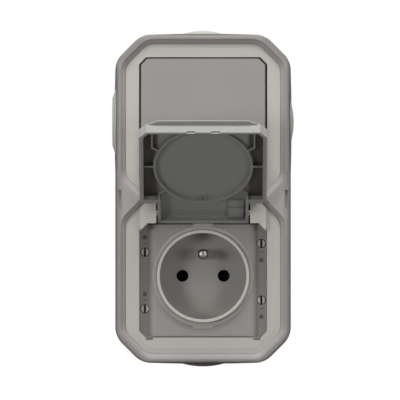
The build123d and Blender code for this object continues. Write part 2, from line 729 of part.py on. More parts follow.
def contact_support():
    """Two cheeks that carry the moving contact, on a strip to the middle terminal."""
    floor = SWITCH_FLOOR
    post = CONTACT_TRUNNION + 1.2
    body = block(-CHEEK_OUT, CHEEK_OUT, TERMINAL_Y, SWITCH_Y + post, floor, floor + STRIP_THICKNESS)
    for side in (-1, 1):
        body += block(
            side * CHEEK_IN, side * CHEEK_OUT, SWITCH_Y - post, SWITCH_Y + post,
            floor, CONTACT_AXIS_DEPTH + post,
        )
    bore = CONTACT_TRUNNION + RUNNING_CLEARANCE
    body -= rod_across(-CHEEK_OUT - 1.0, CHEEK_OUT + 1.0, SWITCH_Y, CONTACT_AXIS_DEPTH, bore)
    return body + terminal(0, TERMINAL_Y, floor)


def fixed_contact(direction, terminal_x):
    """A contact post under one end of the moving contact, with a strip to its terminal."""
    floor = SWITCH_FLOOR
    drop = CONTACT_HALF_LENGTH * math.sin(math.radians(CONTACT_TILT))
    top = CONTACT_AXIS_DEPTH + 0.4 - drop - CONTACT_GAP
    middle = SWITCH_Y + direction * (CONTACT_HALF_LENGTH - 1.2)
    width = CONTACT_WIDTH / 2.0
    lift = floor + STRIP_THICKNESS + SIDE_CLEARANCE
    body = block(-width, width, middle - 1.0, middle + 1.0, lift, top)
    near_post = math.copysign(CRADLE_HALF_WIDTH - SIDE_CLEARANCE, terminal_x)
    body += block(0, near_post, middle - 1.0, middle + 1.0, lift, lift + STRIP_THICKNESS)
    body += block(
        near_post, near_post - math.copysign(STRIP_WIDTH, terminal_x), TERMINAL_Y, middle + 1.0,
        lift, lift + STRIP_THICKNESS,
    )
    return body + terminal(terminal_x, TERMINAL_Y, floor)


def switch_terminal_screws():
    places = (-TERMINAL_SPACING, 0.0, TERMINAL_SPACING)
    return Compound(children=[terminal_screw(x, TERMINAL_Y, SWITCH_FLOOR) for x in places])


# Socket
WELL_BOTTOM = WELL_FACE - WELL_DEPTH
WELL_BACK = WELL_BOTTOM - WELL_FLOOR
SOCKET_FLOOR = SOCKET_BASE_BACK + BASE_FLOOR
EARTH_Y = SOCKET_Y + EARTH_OFFSET
PLATE_REAR = FLANGE_BACK
SEAL_SEAT = PLATE_FACE - 1.2


def channel_cutter(inner, top):
    """What is cut from the plate for the right channel: a rounded shoulder down to a flat strip."""
    channel = PLATE_FACE - CHANNEL_DEPTH
    outer = PLATE_WIDTH / 2.0 + 1.0
    rise = SHOULDER_WIDTH ** 2 + CHANNEL_DEPTH ** 2
    radius = rise / (2.0 * CHANNEL_DEPTH)
    half_turn = math.asin(SHOULDER_WIDTH / radius) / 2.0
    middle = (
        inner - SHOULDER_WIDTH + radius * math.sin(half_turn),
        PLATE_FACE - radius * (1.0 - math.cos(half_turn)),
    )
    shoulder = ThreePointArc((inner - SHOULDER_WIDTH, PLATE_FACE), middle, (inner, channel))
    rest = Polyline(
        (inner, channel), (outer, channel), (outer, PLATE_FACE + 1.0),
        (inner - SHOULDER_WIDTH, PLATE_FACE + 1.0), (inner - SHOULDER_WIDTH, PLATE_FACE),
    )
    section = make_face(shoulder.edges() + rest.edges())
    return Pos(0, top + 1.0, 0) * Rot(90, 0, 0) * prism(section, 0, top - PLATE_BOTTOM + 2.0)


def socket_plate():
    flange_outline = Pos(0, SOCKET_Y) * octagon(FLANGE_SIZE, FLANGE_SIZE, FLANGE_CUT, 0)
    flange = prism(flange_outline, PLATE_REAR, FLANGE_FRONT)
    top = HINGE_Y - HINGE_SWEEP - SURROUND_GAP
    height = top - PLATE_BOTTOM
    face = Pos(0, (top + PLATE_BOTTOM) / 2.0) * octagon(PLATE_WIDTH, height, PLATE_CUT, 0.5)
    plate = prism(face, PLATE_REAR, PLATE_FACE)
    inner = PLATE_WIDTH / 2.0 - CHANNEL_WIDTH
    channel = PLATE_FACE - CHANNEL_DEPTH
    channel_cut = channel_cutter(inner, top)
    plate -= channel_cut
    plate -= mirror(channel_cut, about=Plane.YZ)
    feet = [
        edge
        for edge in plate.edges().filter_by(Axis.Y)
        if abs(abs(edge.center().X) - inner) < 0.01 and abs(edge.center().Z - channel) < 0.01
    ]
    plate = fillet(feet, SHOULDER_FOOT)
    flange -= prism(face, PLATE_REAR - 1.0, FLANGE_FRONT + 1.0)
    plate += flange
    plate -= block(-PLATE_WIDTH, PLATE_WIDTH, top, 0, PLATE_REAR - 1.0, PLATE_FACE + 1.0)
    well = Pos(0, SOCKET_Y) * Circle(WELL_RIM_RADIUS + RUNNING_CLEARANCE)
    plate -= prism(well, PLATE_REAR - 1.0, PLATE_FACE + 1.0)
    plate -= prism(seal_outline(RUNNING_CLEARANCE), SEAL_SEAT, PLATE_FACE + 1.0)
    for side, offset in LOCKS.values():
        x = side * LOCK_X
        y = SOCKET_Y + offset
        plate -= rod(x, y, PLATE_REAR - 1.0, PLATE_FACE, LOCK_SHANK_RADIUS + RUNNING_CLEARANCE)
        plate -= rod(x, y, channel - LOCK_RECESS_DEPTH, PLATE_FACE, LOCK_RECESS_RADIUS)
    return plate


def seal_outline(growth):
    """The collar's ring with its tabs above and below, filled in."""
    tab_reach = SEAL_RADIUS + SEAL_TAB_REACH
    tabs = Rectangle(SEAL_TAB_WIDTH + 2.0 * growth, 2.0 * (tab_reach + growth))
    return Pos(0, SOCKET_Y) * (Circle(SEAL_RADIUS + growth) + tabs)


def well_seal():
    hole = Pos(0, SOCKET_Y) * Circle(WELL_RIM_RADIUS + RUNNING_CLEARANCE)
    ring = prism(seal_outline(0) - hole, SEAL_SEAT, WELL_FACE - SEAL_DROP)
    rim = ring.faces().sort_by(Axis.Z)[-1].edges()
    return chamfer(rim, 0.25)


def pin_places():
    return [(-PIN_SPACING / 2.0, SOCKET_Y), (PIN_SPACING / 2.0, SOCKET_Y)]


def socket_well():
    cup = rod(0, SOCKET_Y, WELL_BACK, WELL_FACE, WELL_RIM_RADIUS)
    cup = fillet(cup.faces().sort_by(Axis.Z)[-1].edges(), 0.4)
    cup -= rod(0, SOCKET_Y, WELL_BOTTOM, WELL_FACE + 1.0, WELL_RADIUS)
    mouth = cup.faces().sort_by(Axis.Z)[-1].edges().sort_by(SortBy.LENGTH)[0]
    cup = fillet(mouth, 0.35)
    cup += rod(0, SOCKET_Y, PLATE_REAR - WELL_FLANGE, PLATE_REAR, WELL_FLANGE_RADIUS)
    cup -= rod(0, SOCKET_Y, PLATE_REAR - WELL_FLANGE - 1.0, PLATE_REAR + 1.0, WELL_RADIUS)
    for x, y in pin_places():
        cup -= rod(x, y, WELL_BACK - 1.0, WELL_BOTTOM + 1.0, PIN_HOLE_RADIUS)
    cup -= rod(0, EARTH_Y, WELL_BACK - 1.0, WELL_BOTTOM + 1.0, EARTH_PIN_RADIUS + RUNNING_CLEARANCE)
    return cup


def earth_pin():
    pin = rod(0, EARTH_Y, SOCKET_FLOOR, WELL_BOTTOM + EARTH_PIN_REACH, EARTH_PIN_RADIUS)
    tip = pin.faces().sort_by(Axis.Z)[-1].edges()
    return fillet(tip, EARTH_TIP_ROUND)


SHUTTER_REACH = PIN_SPACING / 2.0 + SHUTTER_TRAVEL + SHUTTER_WINDOW / 2.0 + SHUTTER_END
SOCKET_BASE_WIDTH = 2.0 * (SHUTTER_REACH + SIDE_CLEARANCE + BASE_WALL)
SOCKET_TERMINAL_Y = (
    SOCKET_Y - SOCKET_BASE_HEIGHT / 2.0 + BASE_WALL + SIDE_CLEARANCE + TERMINAL_HEIGHT / 2.0
)


def earth_strap():
    half = STRIP_WIDTH / 2.0
    foot = EARTH_PIN_RADIUS + 1.6
    strap = block(
        -half, half, SOCKET_TERMINAL_Y, EARTH_Y + foot, SOCKET_FLOOR, SOCKET_FLOOR + STRIP_THICKNESS
    )
    strap += rod(0, EARTH_Y, SOCKET_FLOOR, SOCKET_FLOOR + STRIP_THICKNESS, foot)
    strap += terminal(0, SOCKET_TERMINAL_Y, SOCKET_FLOOR)
    return strap - rod(
        0, EARTH_Y, SOCKET_FLOOR - 1.0, SOCKET_FLOOR + STRIP_THICKNESS + 1.0,
        EARTH_PIN_RADIUS + RUNNING_CLEARANCE,
    )


SHUTTER_FRONT = WELL_BACK - SHUTTER_PLAY
SHUTTER_BACK = SHUTTER_FRONT - SHUTTER_THICKNESS
RAIL_FRONT = SHUTTER_BACK - SHUTTER_PLAY


def pole_contact(side):
    """A split sleeve for a plug pin, with a strip to its own terminal."""
    x = side * PIN_SPACING / 2.0
    floor = SOCKET_FLOOR
    top = RAIL_FRONT - SHUTTER_PLAY
    terminal_x = side * TERMINAL_SPACING
    sleeve = rod(x, SOCKET_Y, floor, top, TULIP_RADIUS)
    sleeve -= rod(x, SOCKET_Y, floor + STRIP_THICKNESS, top + 1.0, TULIP_BORE)
    sleeve -= block(
        x - TULIP_SLIT / 2.0, x + TULIP_SLIT / 2.0, SOCKET_Y - TULIP_RADIUS - 1.0,
        SOCKET_Y + TULIP_RADIUS + 1.0, floor + 4.0, top + 1.0,
    )
    half = STRIP_WIDTH / 2.0
    middle = (x + terminal_x) / 2.0
    sleeve += block(
        middle - half, middle + half, SOCKET_TERMINAL_Y, SOCKET_Y - TULIP_BORE,
        floor, floor + STRIP_THICKNESS,
    )
    return sleeve + terminal(terminal_x, SOCKET_TERMINAL_Y, floor)


def socket_base():
    half = SOCKET_BASE_WIDTH / 2.0
    tall = SOCKET_BASE_HEIGHT / 2.0
    base = block(-half, half, SOCKET_Y - tall, SOCKET_Y + tall, SOCKET_BASE_BACK, WELL_BACK)
    base -= block(
        BASE_WALL - half, half - BASE_WALL,
        SOCKET_Y - tall + BASE_WALL, SOCKET_Y + tall - BASE_WALL,
        SOCKET_FLOOR, WELL_BACK + 1.0,
    )
    rail_in = SHUTTER_HEIGHT / 2.0 - RAIL_WIDTH / 2.0
    for side in (-1, 1):
        base += block(
            -half + 0.5, half - 0.5,
            SOCKET_Y + side * rail_in, SOCKET_Y + side * (rail_in + 2.0 * RAIL_WIDTH),
            RAIL_FRONT - RAIL_DEPTH, RAIL_FRONT,
        )
        guide = SHUTTER_HEIGHT / 2.0 + SHUTTER_PLAY
        base += block(
            -half + 0.5, half - 0.5,
            SOCKET_Y + side * guide, SOCKET_Y + side * (rail_in + 2.0 * RAIL_WIDTH),
            RAIL_FRONT - RAIL_DEPTH, WELL_BACK,
        )
    for x, y in pin_places():
        base -= rod(x, y, SOCKET_FLOOR, WELL_BACK, TULIP_RADIUS + SHUTTER_PLAY)
    return base


def shutter():
    """A sliding plate whose two windows come under the pin holes when it has moved."""
    half = SHUTTER_HEIGHT / 2.0
    left = -SHUTTER_REACH
    right = PIN_SPACING / 2.0 + PIN_HOLE_RADIUS + SHUTTER_END
    plate = block(left, right, SOCKET_Y - half, SOCKET_Y + half, SHUTTER_BACK, SHUTTER_FRONT)
    for x, y in pin_places():
        window = Pos(x - SHUTTER_TRAVEL, y, SHUTTER_BACK) * Box(
            SHUTTER_WINDOW, SHUTTER_WINDOW, 4.0 * SHUTTER_THICKNESS
        )
        plate -= window
    return plate


def shutter_spring():
    start = PIN_SPACING / 2.0 + PIN_HOLE_RADIUS + SHUTTER_END + 0.1
    end = SOCKET_BASE_WIDTH / 2.0 - BASE_WALL - 0.1
    radius = SHUTTER_THICKNESS / 2.0 - SHUTTER_WIRE
    body = coil(radius, end - start, SPRING_TURNS, SHUTTER_WIRE)
    middle = (SHUTTER_BACK + SHUTTER_FRONT) / 2.0
    return Pos(start, SOCKET_Y, middle) * Rot(0, 90, 0) * body


def socket_terminal_screws():
    places = (-TERMINAL_SPACING, 0.0, TERMINAL_SPACING)
    return Compound(children=[terminal_screw(x, SOCKET_TERMINAL_Y, SOCKET_FLOOR) for x in places])


def lock(side, offset):
    """A slotted quarter-turn lock: a head, a shank and a cam that catches under the box's lug."""
    x = side * LOCK_X
    y = SOCKET_Y + offset
    channel = PLATE_FACE - CHANNEL_DEPTH
    seat = channel - LOCK_RECESS_DEPTH + 0.05
    face = channel + LOCK_HEAD_PROUD
    body = rod(x, y, seat, face, LOCK_HEAD_RADIUS)
    body = chamfer(body.faces().sort_by(Axis.Z)[-1].edges(), 0.2)
    cam_back = CAM_TOP - LOCK_CAM_THICKNESS
    body += rod(x, y, cam_back, seat + 0.01, LOCK_SHANK_RADIUS)
    body -= block(
        x - LOCK_SLOT_WIDTH / 2.0, x + LOCK_SLOT_WIDTH / 2.0,
        y - LOCK_HEAD_RADIUS - 1.0, y + LOCK_HEAD_RADIUS + 1.0,
        face - LOCK_SLOT_DEPTH, face + 1.0,
    )
    half = LOCK_CAM_WIDTH / 2.0
    body += block(x, x + side * LOCK_CAM_REACH, y - half, y + half, cam_back, CAM_TOP)
    return body


# Flap, drawn shut, then swung open about the hinge line
def flap_y(u):
    """The height on the wall of a point at a distance from the hinge along the shut flap."""
    return HINGE_Y - u


def flap_outline(inset, end_inset):
    half = FLAP_WIDTH / 2.0 - inset
    near = flap_y(FLAP_START + inset)
    far = flap_y(FLAP_END - end_inset)
    cut = FLAP_CUT - inset * DIAGONAL
    points = [
        (half, near),
        (half, far + cut),
        (half - cut, far),
        (cut - half, far),
        (-half, far + cut),
        (-half, near),
    ]
    return Polygon(*points, align=None)


def rib_between(points, v_rim):
    """A thin upright wall on the flap's inner face through points (x, distance from the hinge)."""
    path = Polyline(*[(x, flap_y(u)) for x, u in points])
    wall = trace(path, RIB)
    return prism(wall, HINGE_DEPTH + v_rim, HINGE_DEPTH + FLAP_FACE - FLAP_PLATE + 0.2)


def hinge_section():
    """The flap's middle part at the hinge: a curved end wall between two cheeks."""
    top = HINGE_DEPTH + FLAP_FACE
    inner = top - FLAP_PLATE
    rim = HINGE_DEPTH + FLAP_RIM
    half = HINGE_HALF_WIDTH
    end = flap_y(FLAP_START + FLAP_SIDE_WALL)
    limit = block(
        -half, half, end, HINGE_Y + HINGE_BARREL_RADIUS, rim, top
    )
    core = rod_across(-half, half, HINGE_Y, HINGE_DEPTH, HINGE_BARREL_RADIUS)
    core += block(-half, half, end, HINGE_Y, rim, top)
    body = core & limit
    hollow = rod_across(-half, half, HINGE_Y, HINGE_DEPTH, HINGE_BARREL_RADIUS - HINGE_WALL)
    hollow += block(-half, half, end - 1.0, HINGE_Y, rim - 1.0, inner)
    hollow &= block(-half, half, end - 1.0, HINGE_Y + HINGE_BARREL_RADIUS, rim - 5.0, inner)
    hollow += block(
        -half, half, HINGE_Y - HINGE_BARREL_RADIUS, HINGE_Y + HINGE_BARREL_RADIUS - HINGE_WALL - 0.9,
        rim - 1.0, rim + 2.0,
    )
    cheek = half - HINGE_CHEEK
    hollow &= block(-cheek, cheek, end - 2.0, HINGE_Y + HINGE_BARREL_RADIUS, rim - 5.0, top)
    return body - hollow


def flap():
    top = HINGE_DEPTH + FLAP_FACE
    inner = top - FLAP_PLATE
    rim = HINGE_DEPTH + FLAP_RIM
    tray = prism(flap_outline(0, 0), rim, top)
    lip = Polygon(
        (LIP_HALF_WIDTH, flap_y(FLAP_END - 1.0)),
        (LIP_HALF_WIDTH, flap_y(FLAP_END)),
        (LIP_HALF_FLAT, flap_y(FLAP_END + LIP_REACH)),
        (-LIP_HALF_FLAT, flap_y(FLAP_END + LIP_REACH)),
        (-LIP_HALF_WIDTH, flap_y(FLAP_END)),
        (-LIP_HALF_WIDTH, flap_y(FLAP_END - 1.0)),
        align=None,
    )
    tray += prism(lip, top - LIP_THICKNESS, top)
    tray = fillet(tray.faces().sort_by(Axis.Z)[-1].edges(), FLAP_ROUND)
    tray -= prism(flap_outline(FLAP_SIDE_WALL, FLAP_END_WALL), rim - 1.0, inner)
    near_wall = HINGE_HALF_WIDTH - HINGE_CHEEK
    tray -= block(
        -near_wall, near_wall, flap_y(FLAP_START + FLAP_SIDE_WALL + 1.0), flap_y(FLAP_START) + 1.0,
        rim - 1.0, inner,
    )
    tray += hinge_section()
    ring = Pos(0, SOCKET_Y) * (Circle(RING_RADIUS) - Circle(RING_RADIUS - RING_WALL))
    tray += prism(ring, HINGE_DEPTH + RING_RIM, inner + 0.2)
    wall_x = FLAP_WIDTH / 2.0 - FLAP_SIDE_WALL + RIB / 4.0
    ring_u = HINGE_Y - SOCKET_Y
    cheek_x = HINGE_HALF_WIDTH - HINGE_CHEEK / 2.0
    end_u = FLAP_END - FLAP_END_WALL + RIB / 4.0
    for side in (-1, 1):
        level = [(side * (RING_RADIUS - RIB / 2.0), ring_u), (side * wall_x, ring_u)]
        upper = [
            (side * UPPER_RIB_X, end_u),
            (side * UPPER_RIB_X, ring_u + UPPER_RIB_BEND),
            (side * UPPER_RIB_FOOT[0], ring_u + UPPER_RIB_FOOT[1]),
        ]
        bend = (side * cheek_x, ring_u - LOWER_RIB_BEND)
        lower = [bend, (side * LOWER_RIB_FOOT[0], ring_u - LOWER_RIB_FOOT[1])]
        for points in (level, upper, lower):
            tray += rib_between(points, RING_RIM)
        tray += rib_between([(side * cheek_x, FLAP_START), bend], FLAP_RIM)
        gate_start = ring_u - RING_RADIUS + RING_WALL / 2.0
        tray += block(
            side * GATE_RIB_X - GATE_RIB_WIDTH / 2.0, side * GATE_RIB_X + GATE_RIB_WIDTH / 2.0,
            flap_y(gate_start), flap_y(gate_start + GATE_RIB_LENGTH), inner - GATE_RIB_HEIGHT, inner + 0.2,
        )
    for start_u, stop_u, level_v in STOP_STEPS:
        tray += block(
            STOP_START, STOP_END, flap_y(stop_u), flap_y(start_u), HINGE_DEPTH + level_v, inner + 0.2
        )
    for side in (-1, 1):
        tray -= block(
            side * RIM_NOTCH_START, side * RIM_NOTCH_END,
            flap_y(FLAP_END - RIM_NOTCH_WALL), flap_y(FLAP_END + 1.0), rim - 1.0, rim + RIM_NOTCH_DEPTH,
        )
        bore = HINGE_PIN_RADIUS + RUNNING_CLEARANCE
        tray -= rod_across(
            side * (HINGE_HALF_WIDTH - HINGE_CHEEK - 1.0), side * (HINGE_HALF_WIDTH + 1.0),
            HINGE_Y, HINGE_DEPTH, bore,
        )
    return turned(tray, HINGE_Y, HINGE_DEPTH, -FLAP_OPEN_ANGLE)


def hinge_pin(side):
    inside = HINGE_HALF_WIDTH - HINGE_CHEEK + HINGE_PIN_SINK
    outside = EAR_INNER + EAR_PIN_DEPTH
    return rod_across(side * inside, side * outside, HINGE_Y, HINGE_DEPTH, HINGE_PIN_RADIUS)


# All the pieces, stood up against the wall
pieces = {
    "back_box": back_box(),
    "box_gasket": box_gasket(),
    "front_bezel": front_bezel(),
    "switch_surround": switch_surround(),
    "socket_surround": socket_surround(),
    "left_membrane": left_membrane(),
    "rocker_cap": rocker_cap(),
    "rocker_cradle": rocker_cradle(),
    "rocker_seal": rocker_seal(),
    "switch_base": switch_base(),
    "toggle_plunger": toggle_plunger(),
    "toggle_spring": toggle_spring(),
    "moving_contact": moving_contact(),
    "contact_support": contact_support(),
    "upper_contact": fixed_contact(1, -TERMINAL_SPACING),
    "lower_contact": fixed_contact(-1, TERMINAL_SPACING),
    "switch_terminal_screws": switch_terminal_screws(),
    "socket_plate": socket_plate(),
    "socket_well": socket_well(),
    "well_seal": well_seal(),
    "socket_base": socket_base(),
    "earth_pin": earth_pin(),
    "earth_strap": earth_strap(),
    "live_contact": pole_contact(1),
    "neutral_contact": pole_contact(-1),
    "shutter": shutter(),
    "shutter_spring": shutter_spring(),
    "socket_terminal_screws": socket_terminal_screws(),
    "flap": flap(),
    "hinge_pin_left": hinge_pin(-1),
    "hinge_pin_right": hinge_pin(1),
}
for plug_name in ("right_plug", "top_plug", "bottom_plug"):
    pieces[plug_name] = round_plug(plug_name)
for lock_name, (lock_side, lock_offset) in LOCKS.items():
    pieces[lock_name] = lock(lock_side, lock_offset)

os.makedirs("parts", exist_ok=True)
for name, shape in pieces.items():
    export_step(Plane.XZ.location * shape, f"parts/{name}.step")
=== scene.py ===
import math

import bmesh
import bpy
from mathutils import Matrix, Vector


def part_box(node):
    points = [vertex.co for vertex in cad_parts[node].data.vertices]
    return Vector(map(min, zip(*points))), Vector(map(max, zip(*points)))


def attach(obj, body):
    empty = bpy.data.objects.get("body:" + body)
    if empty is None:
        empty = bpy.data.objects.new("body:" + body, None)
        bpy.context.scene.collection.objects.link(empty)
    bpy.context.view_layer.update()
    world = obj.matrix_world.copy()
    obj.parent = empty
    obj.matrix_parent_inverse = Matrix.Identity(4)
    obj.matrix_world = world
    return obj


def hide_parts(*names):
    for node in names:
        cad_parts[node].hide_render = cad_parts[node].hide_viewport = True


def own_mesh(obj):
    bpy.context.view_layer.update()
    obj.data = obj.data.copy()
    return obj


bl_info = {
    "name": "Wall switch and socket finishes",
    "version": (1, 0, 0),
    "blender": (4, 5, 0),
    "location": "View3D > Sidebar > Wall unit",
    "description": "Dresses the packed wall unit with its finishes, moulded marks and studio",
    "category": "3D View",
}

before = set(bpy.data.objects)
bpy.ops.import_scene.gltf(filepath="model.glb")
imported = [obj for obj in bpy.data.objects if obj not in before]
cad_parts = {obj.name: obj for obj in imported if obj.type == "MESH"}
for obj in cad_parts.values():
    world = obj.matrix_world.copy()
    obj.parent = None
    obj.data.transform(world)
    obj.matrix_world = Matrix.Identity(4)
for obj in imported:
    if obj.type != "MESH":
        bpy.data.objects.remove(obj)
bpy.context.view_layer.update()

MM = 0.001
OUT_OF_REACH = 1.0

LOCKS = ("lock_upper_left", "lock_lower_left", "lock_upper_right", "lock_lower_right")
LOCK_X = 26.7 * MM
LOCK_PROUD = 0.25 * MM

# Painted shade in the side pockets of the flap's inner side
POCKET_SHADE_COLOUR = (0.085, 0.077, 0.067, 1.0)
DUST_COLOUR = (0.62, 0.6, 0.56, 1.0)
BLOOM_COLOUR = (0.6, 0.6, 0.57, 1.0)
STAIN_COLOUR = (0.24, 0.2, 0.16, 1.0)
PAPER_COLOUR = (0.84, 0.84, 0.84, 1.0)
FIBRE_COLOUR = (0.8, 0.8, 0.8, 1.0)

GRAIN_DEPTH = 0.03 * MM
PIT_DEPTH = 0.04 * MM
LINE_DEPTH = 0.02 * MM
MOTTLE_CONTRAST = 4.0
DIAGONAL = 0.7071
RAGGED_WEAR = 0.35
EVEN_SHADE = 0.04

WIRE_SIDES = 8
STEPS_PER_TURN = 20
ARC_STEPS = 24
FLOOR_SIDES = 96
LIGHT_AIM = Vector((0.0, -0.045, 0.0))


def colour(name, description, default):
    """A colour property in linear values."""
    return bpy.props.FloatVectorProperty(
        name=name, description=description, default=default,
        size=3, subtype="COLOR", min=0.0, max=1.0,
    )


def length(name, description, default):
    """A length property in metres."""
    return bpy.props.FloatProperty(
        name=name, description=description, default=default, unit="LENGTH", precision=5
    )


def amount(name, description, default):
    """A share or a factor."""
    return bpy.props.FloatProperty(
        name=name, description=description, default=default, min=0.0, max=10.0
    )


class CaseFinish(bpy.types.PropertyGroup):
    """Colours of the case mouldings."""

    surround: colour("Surround", "Light grey of the frames and ears", (0.49, 0.466, 0.431))
    bezel: colour("Bezel", "Mid grey of the front bezel", (0.38, 0.357, 0.346))
    box: colour("Box", "Grey of the wall box", (0.17, 0.161, 0.156))
    entry: colour("Cable entry", "Pale soft cable entries", (0.5, 0.515, 0.455))
    # Painted shade: the bottom entry is a darker copy of the entry elastomer
    shaded_entry: colour("Shaded entry", "Dark blank in the bottom entry", (0.1, 0.092, 0.088))
    seal: colour("Seal", "Dark flat seals", (0.014, 0.0136, 0.013))


class SwitchFinish(bpy.types.PropertyGroup):
    """Colours of the rocker and what is under it."""

    rocker: colour("Rocker", "Satin grey of the rocker", (0.295, 0.29, 0.274))
    insulator: colour("Insulator", "Inner mouldings", (0.62, 0.6, 0.55))


class SocketFinish(bpy.types.PropertyGroup):
    """Colours of the socket insert and the flap, and of the metals."""

    plate: colour("Plate", "Satin grey of the socket plate", (0.33, 0.308, 0.296))
    well: colour("Well", "Light grey of the plug well", (0.58, 0.559, 0.523))
    collar: colour("Collar", "Brown grey soft collar round the well", (0.46, 0.425, 0.405))
    lock: colour("Lock", "Quarter-turn lock heads", (0.6, 0.576, 0.546))
    shutter: colour("Shutter", "Dark plate behind the pin holes", (0.006, 0.006, 0.006))
    flap: colour("Flap", "Satin grey of the flap", (0.325, 0.322, 0.312))
    nickel: colour("Nickel", "Bright plating of the earth pin", (0.27, 0.263, 0.253))
    brass: colour("Brass", "Stamped contacts", (0.72, 0.52, 0.22))
    steel: colour("Steel", "Springs, pins and screws", (0.55, 0.54, 0.52))


class WearAndShade(bpy.types.PropertyGroup):
    """Bands along outlines and depths behind faces, and their tone against the plastic's own:
    rubbed wear on the surrounds, painted shade and painted highlights elsewhere.
    """

    bezel_corner: length("Bezel corner", "Cut of the bezel's corners", 13.0 * MM)
    # Painted shade along the rim of the bezel
    bezel_shade_band: length("Bezel band", "Width of the darker rim of the bezel", 3.4 * MM)
    bezel_shade_tone: amount("Bezel tone", "Tone of the rim of the bezel", 0.66)
    frame_corner: length("Frame corner", "Cut of the surrounds' corners", 10.0 * MM)
    frame_band: length("Frame band", "Width of the rubbed outline of the surrounds", 1.2 * MM)
    frame_tone: amount("Frame tone", "Tone of the rubbed outline of the surrounds", 1.08)
    # Painted highlight on the hinge ears, which stand proud
    ear_highlight_depth: length("Ear depth", "How far back the hinge ears are rubbed", 2.3 * MM)
    ear_highlight_tone: amount("Ear tone", "Tone of the rubbed hinge ears", 1.18)
    rocker_corner: length("Rocker corner", "Cut of the rocker's corners", 3.0 * MM)
    # Painted shade in the seam round the rocker
    seam_shade_band: length("Seam band", "Width of the dark seam round the rocker", 0.7 * MM)
    seam_shade_tone: amount("Seam tone", "Tone of the seam round the rocker", 0.1)
    # Painted shade in the plate's recesses
    recess_shade_depth: length("Recess depth", "Where the plate's recesses darken", 0.15 * MM)
    recess_shade_tone: amount("Recess tone", "Tone in the plate's recesses", 0.12)
    # Painted shade inside the well
    well_shade_depth: length("Well depth", "Where the inside of the well darkens", 1.0 * MM)
    well_shade_tone: amount("Well tone", "Tone of the inside of the well", 0.65)
    # Painted shade in the slots of the locks
    slot_shade_depth: length("Slot depth", "Where the slots of the locks darken", 0.2 * MM)
    slot_shade_tone: amount("Slot tone", "Tone in the slots of the locks", 0.08)
    # Painted shade on the flap's inner side
    flap_shade_tone: amount("Flap tone", "Tone of the inner side of the flap", 0.75)


class FlapShape(bpy.types.PropertyGroup):
    """The flap's inner side, measured from its hinge, where shade is painted."""

    open_angle: bpy.props.FloatProperty(
        name="Open angle", description="How far the flap stands open at rest",
        default=math.radians(137.0), subtype="ANGLE",
    )
    rim: length("Rim", "Height of the inner side's rim", 3.2 * MM)
    floor: length("Floor", "Depth of the inner side's floor", 2.4 * MM)
    half_width: length("Half width", "From the middle to the side walls", 28.4 * MM)
    end: length("End", "From the hinge to the end wall", 51.4 * MM)
    corner: length("Corner", "Sideways and lengthways reach at the cut corners", 76.0 * MM)
    ring_radius: length("Ring radius", "Radius of the ring on the inner side", 22.5 * MM)
    pocket_rim: length("Pocket rim", "Height under which the side pockets darken", 0.4 * MM)
    pocket_side: length("Pocket side", "From the middle to the side pockets", 19.5 * MM)


class SpringShape(bpy.types.PropertyGroup):
    """Return spring of the shutter."""

    wire: length("Wire", "Diameter of the spring wire", 0.5 * MM)
    turns: bpy.props.IntProperty(
        name="Turns", description="Turns of the coil", default=5, min=1
    )
    travel: length("Travel", "How far the shutter slides", 6.4 * MM)


class MarkShape(bpy.types.PropertyGroup):
    """Raised dash and padlock sign beside each lock."""

    tone: colour("Mark tone", "Darker grey of the moulded marks", (0.13, 0.122, 0.118))
    height: length("Mark height", "How far a mark stands off its surface", 0.12 * MM)
    sunk: length("Sunk", "How far a mark reaches into its surface", 0.02 * MM)
    stroke: length("Stroke", "Width of a raised line", 0.34 * MM)
    dash_offset: length("Dash offset", "From the lock to the dash", 4.0 * MM)
    dash_length: length("Dash length", "Length of the dash", 1.9 * MM)
    dash_edge: length("Dash edge", "Rounding of the dash", 0.05 * MM)
    sign_offset: length("Sign offset", "From the lock to the padlock", 7.2 * MM)
    body_width: length("Body width", "Width of the padlock's body", 1.7 * MM)
    body_height: length("Body height", "Height of the padlock's body", 1.3 * MM)
    body_drop: length("Body drop", "From the shackle down to the body's middle", 0.6 * MM)
    body_edge: length("Body edge", "Rounding of the padlock's body", 0.06 * MM)
    shackle_radius: length("Shackle radius", "Radius of the shackle", 0.6 * MM)


class StudioSetup(bpy.types.PropertyGroup):
    """Camera, floor and light."""

    camera_distance: length("Camera distance", "From the front plane to the camera", 2.5)
    view_width: length("View width", "Width of the picture at the front plane", 0.18307)
    front_plane: length("Front plane", "Depth of the front plane off the wall", 0.052)
    camera_x: length("Camera x", "Sideways place of the camera", -1.42 * MM)
    camera_z: length("Camera z", "Height of the camera", -0.57 * MM)
    floor_drop: length("Floor drop", "How far the floor lies under the unit's middle", 1.2)
    floor_radius: length("Floor radius", "Radius of the round floor", 1.6)
    left_key: amount("Left key", "Light from the left of the camera", 0.24)
    right_key: amount("Right key", "Light from the right of the camera", 0.13)
    left_strip: amount("Left strip", "Grazing light from the left", 0.11)
    right_strip: amount("Right strip", "Grazing light from the right", 0.01)
    high_left: amount("High left", "Light from the upper left", 0.19)
    high_right: amount("High right", "Light from the upper right", 0.23)
    low_fill: amount("Low fill", "Light from under the camera", 0.06)
    top_strip: amount("Top strip", "Grazing light from above", 0.9)
    side_fill: amount("Side fill", "Light on each side of the box", 0.08)
    back_fill: amount("Back fill", "Light on the back of the box", 0.4)
    ambient: amount("Ambient", "Even light from all round", 0.03)
    reflected: amount("Reflected", "How bright the backdrop is in reflections", 0.7)


# Shader nodes


def add(tree, kind, values=None, **settings):
    """A node with its settings and input values."""
    node = tree.nodes.new(kind)
    for name, value in settings.items():
        setattr(node, name, value)
    for name, value in (values or {}).items():
        node.inputs[name].default_value = value
    return node


def object_coords(tree):
    """Coordinates that stay with the piece."""
    return add(tree, "ShaderNodeTexCoord").outputs["Object"]


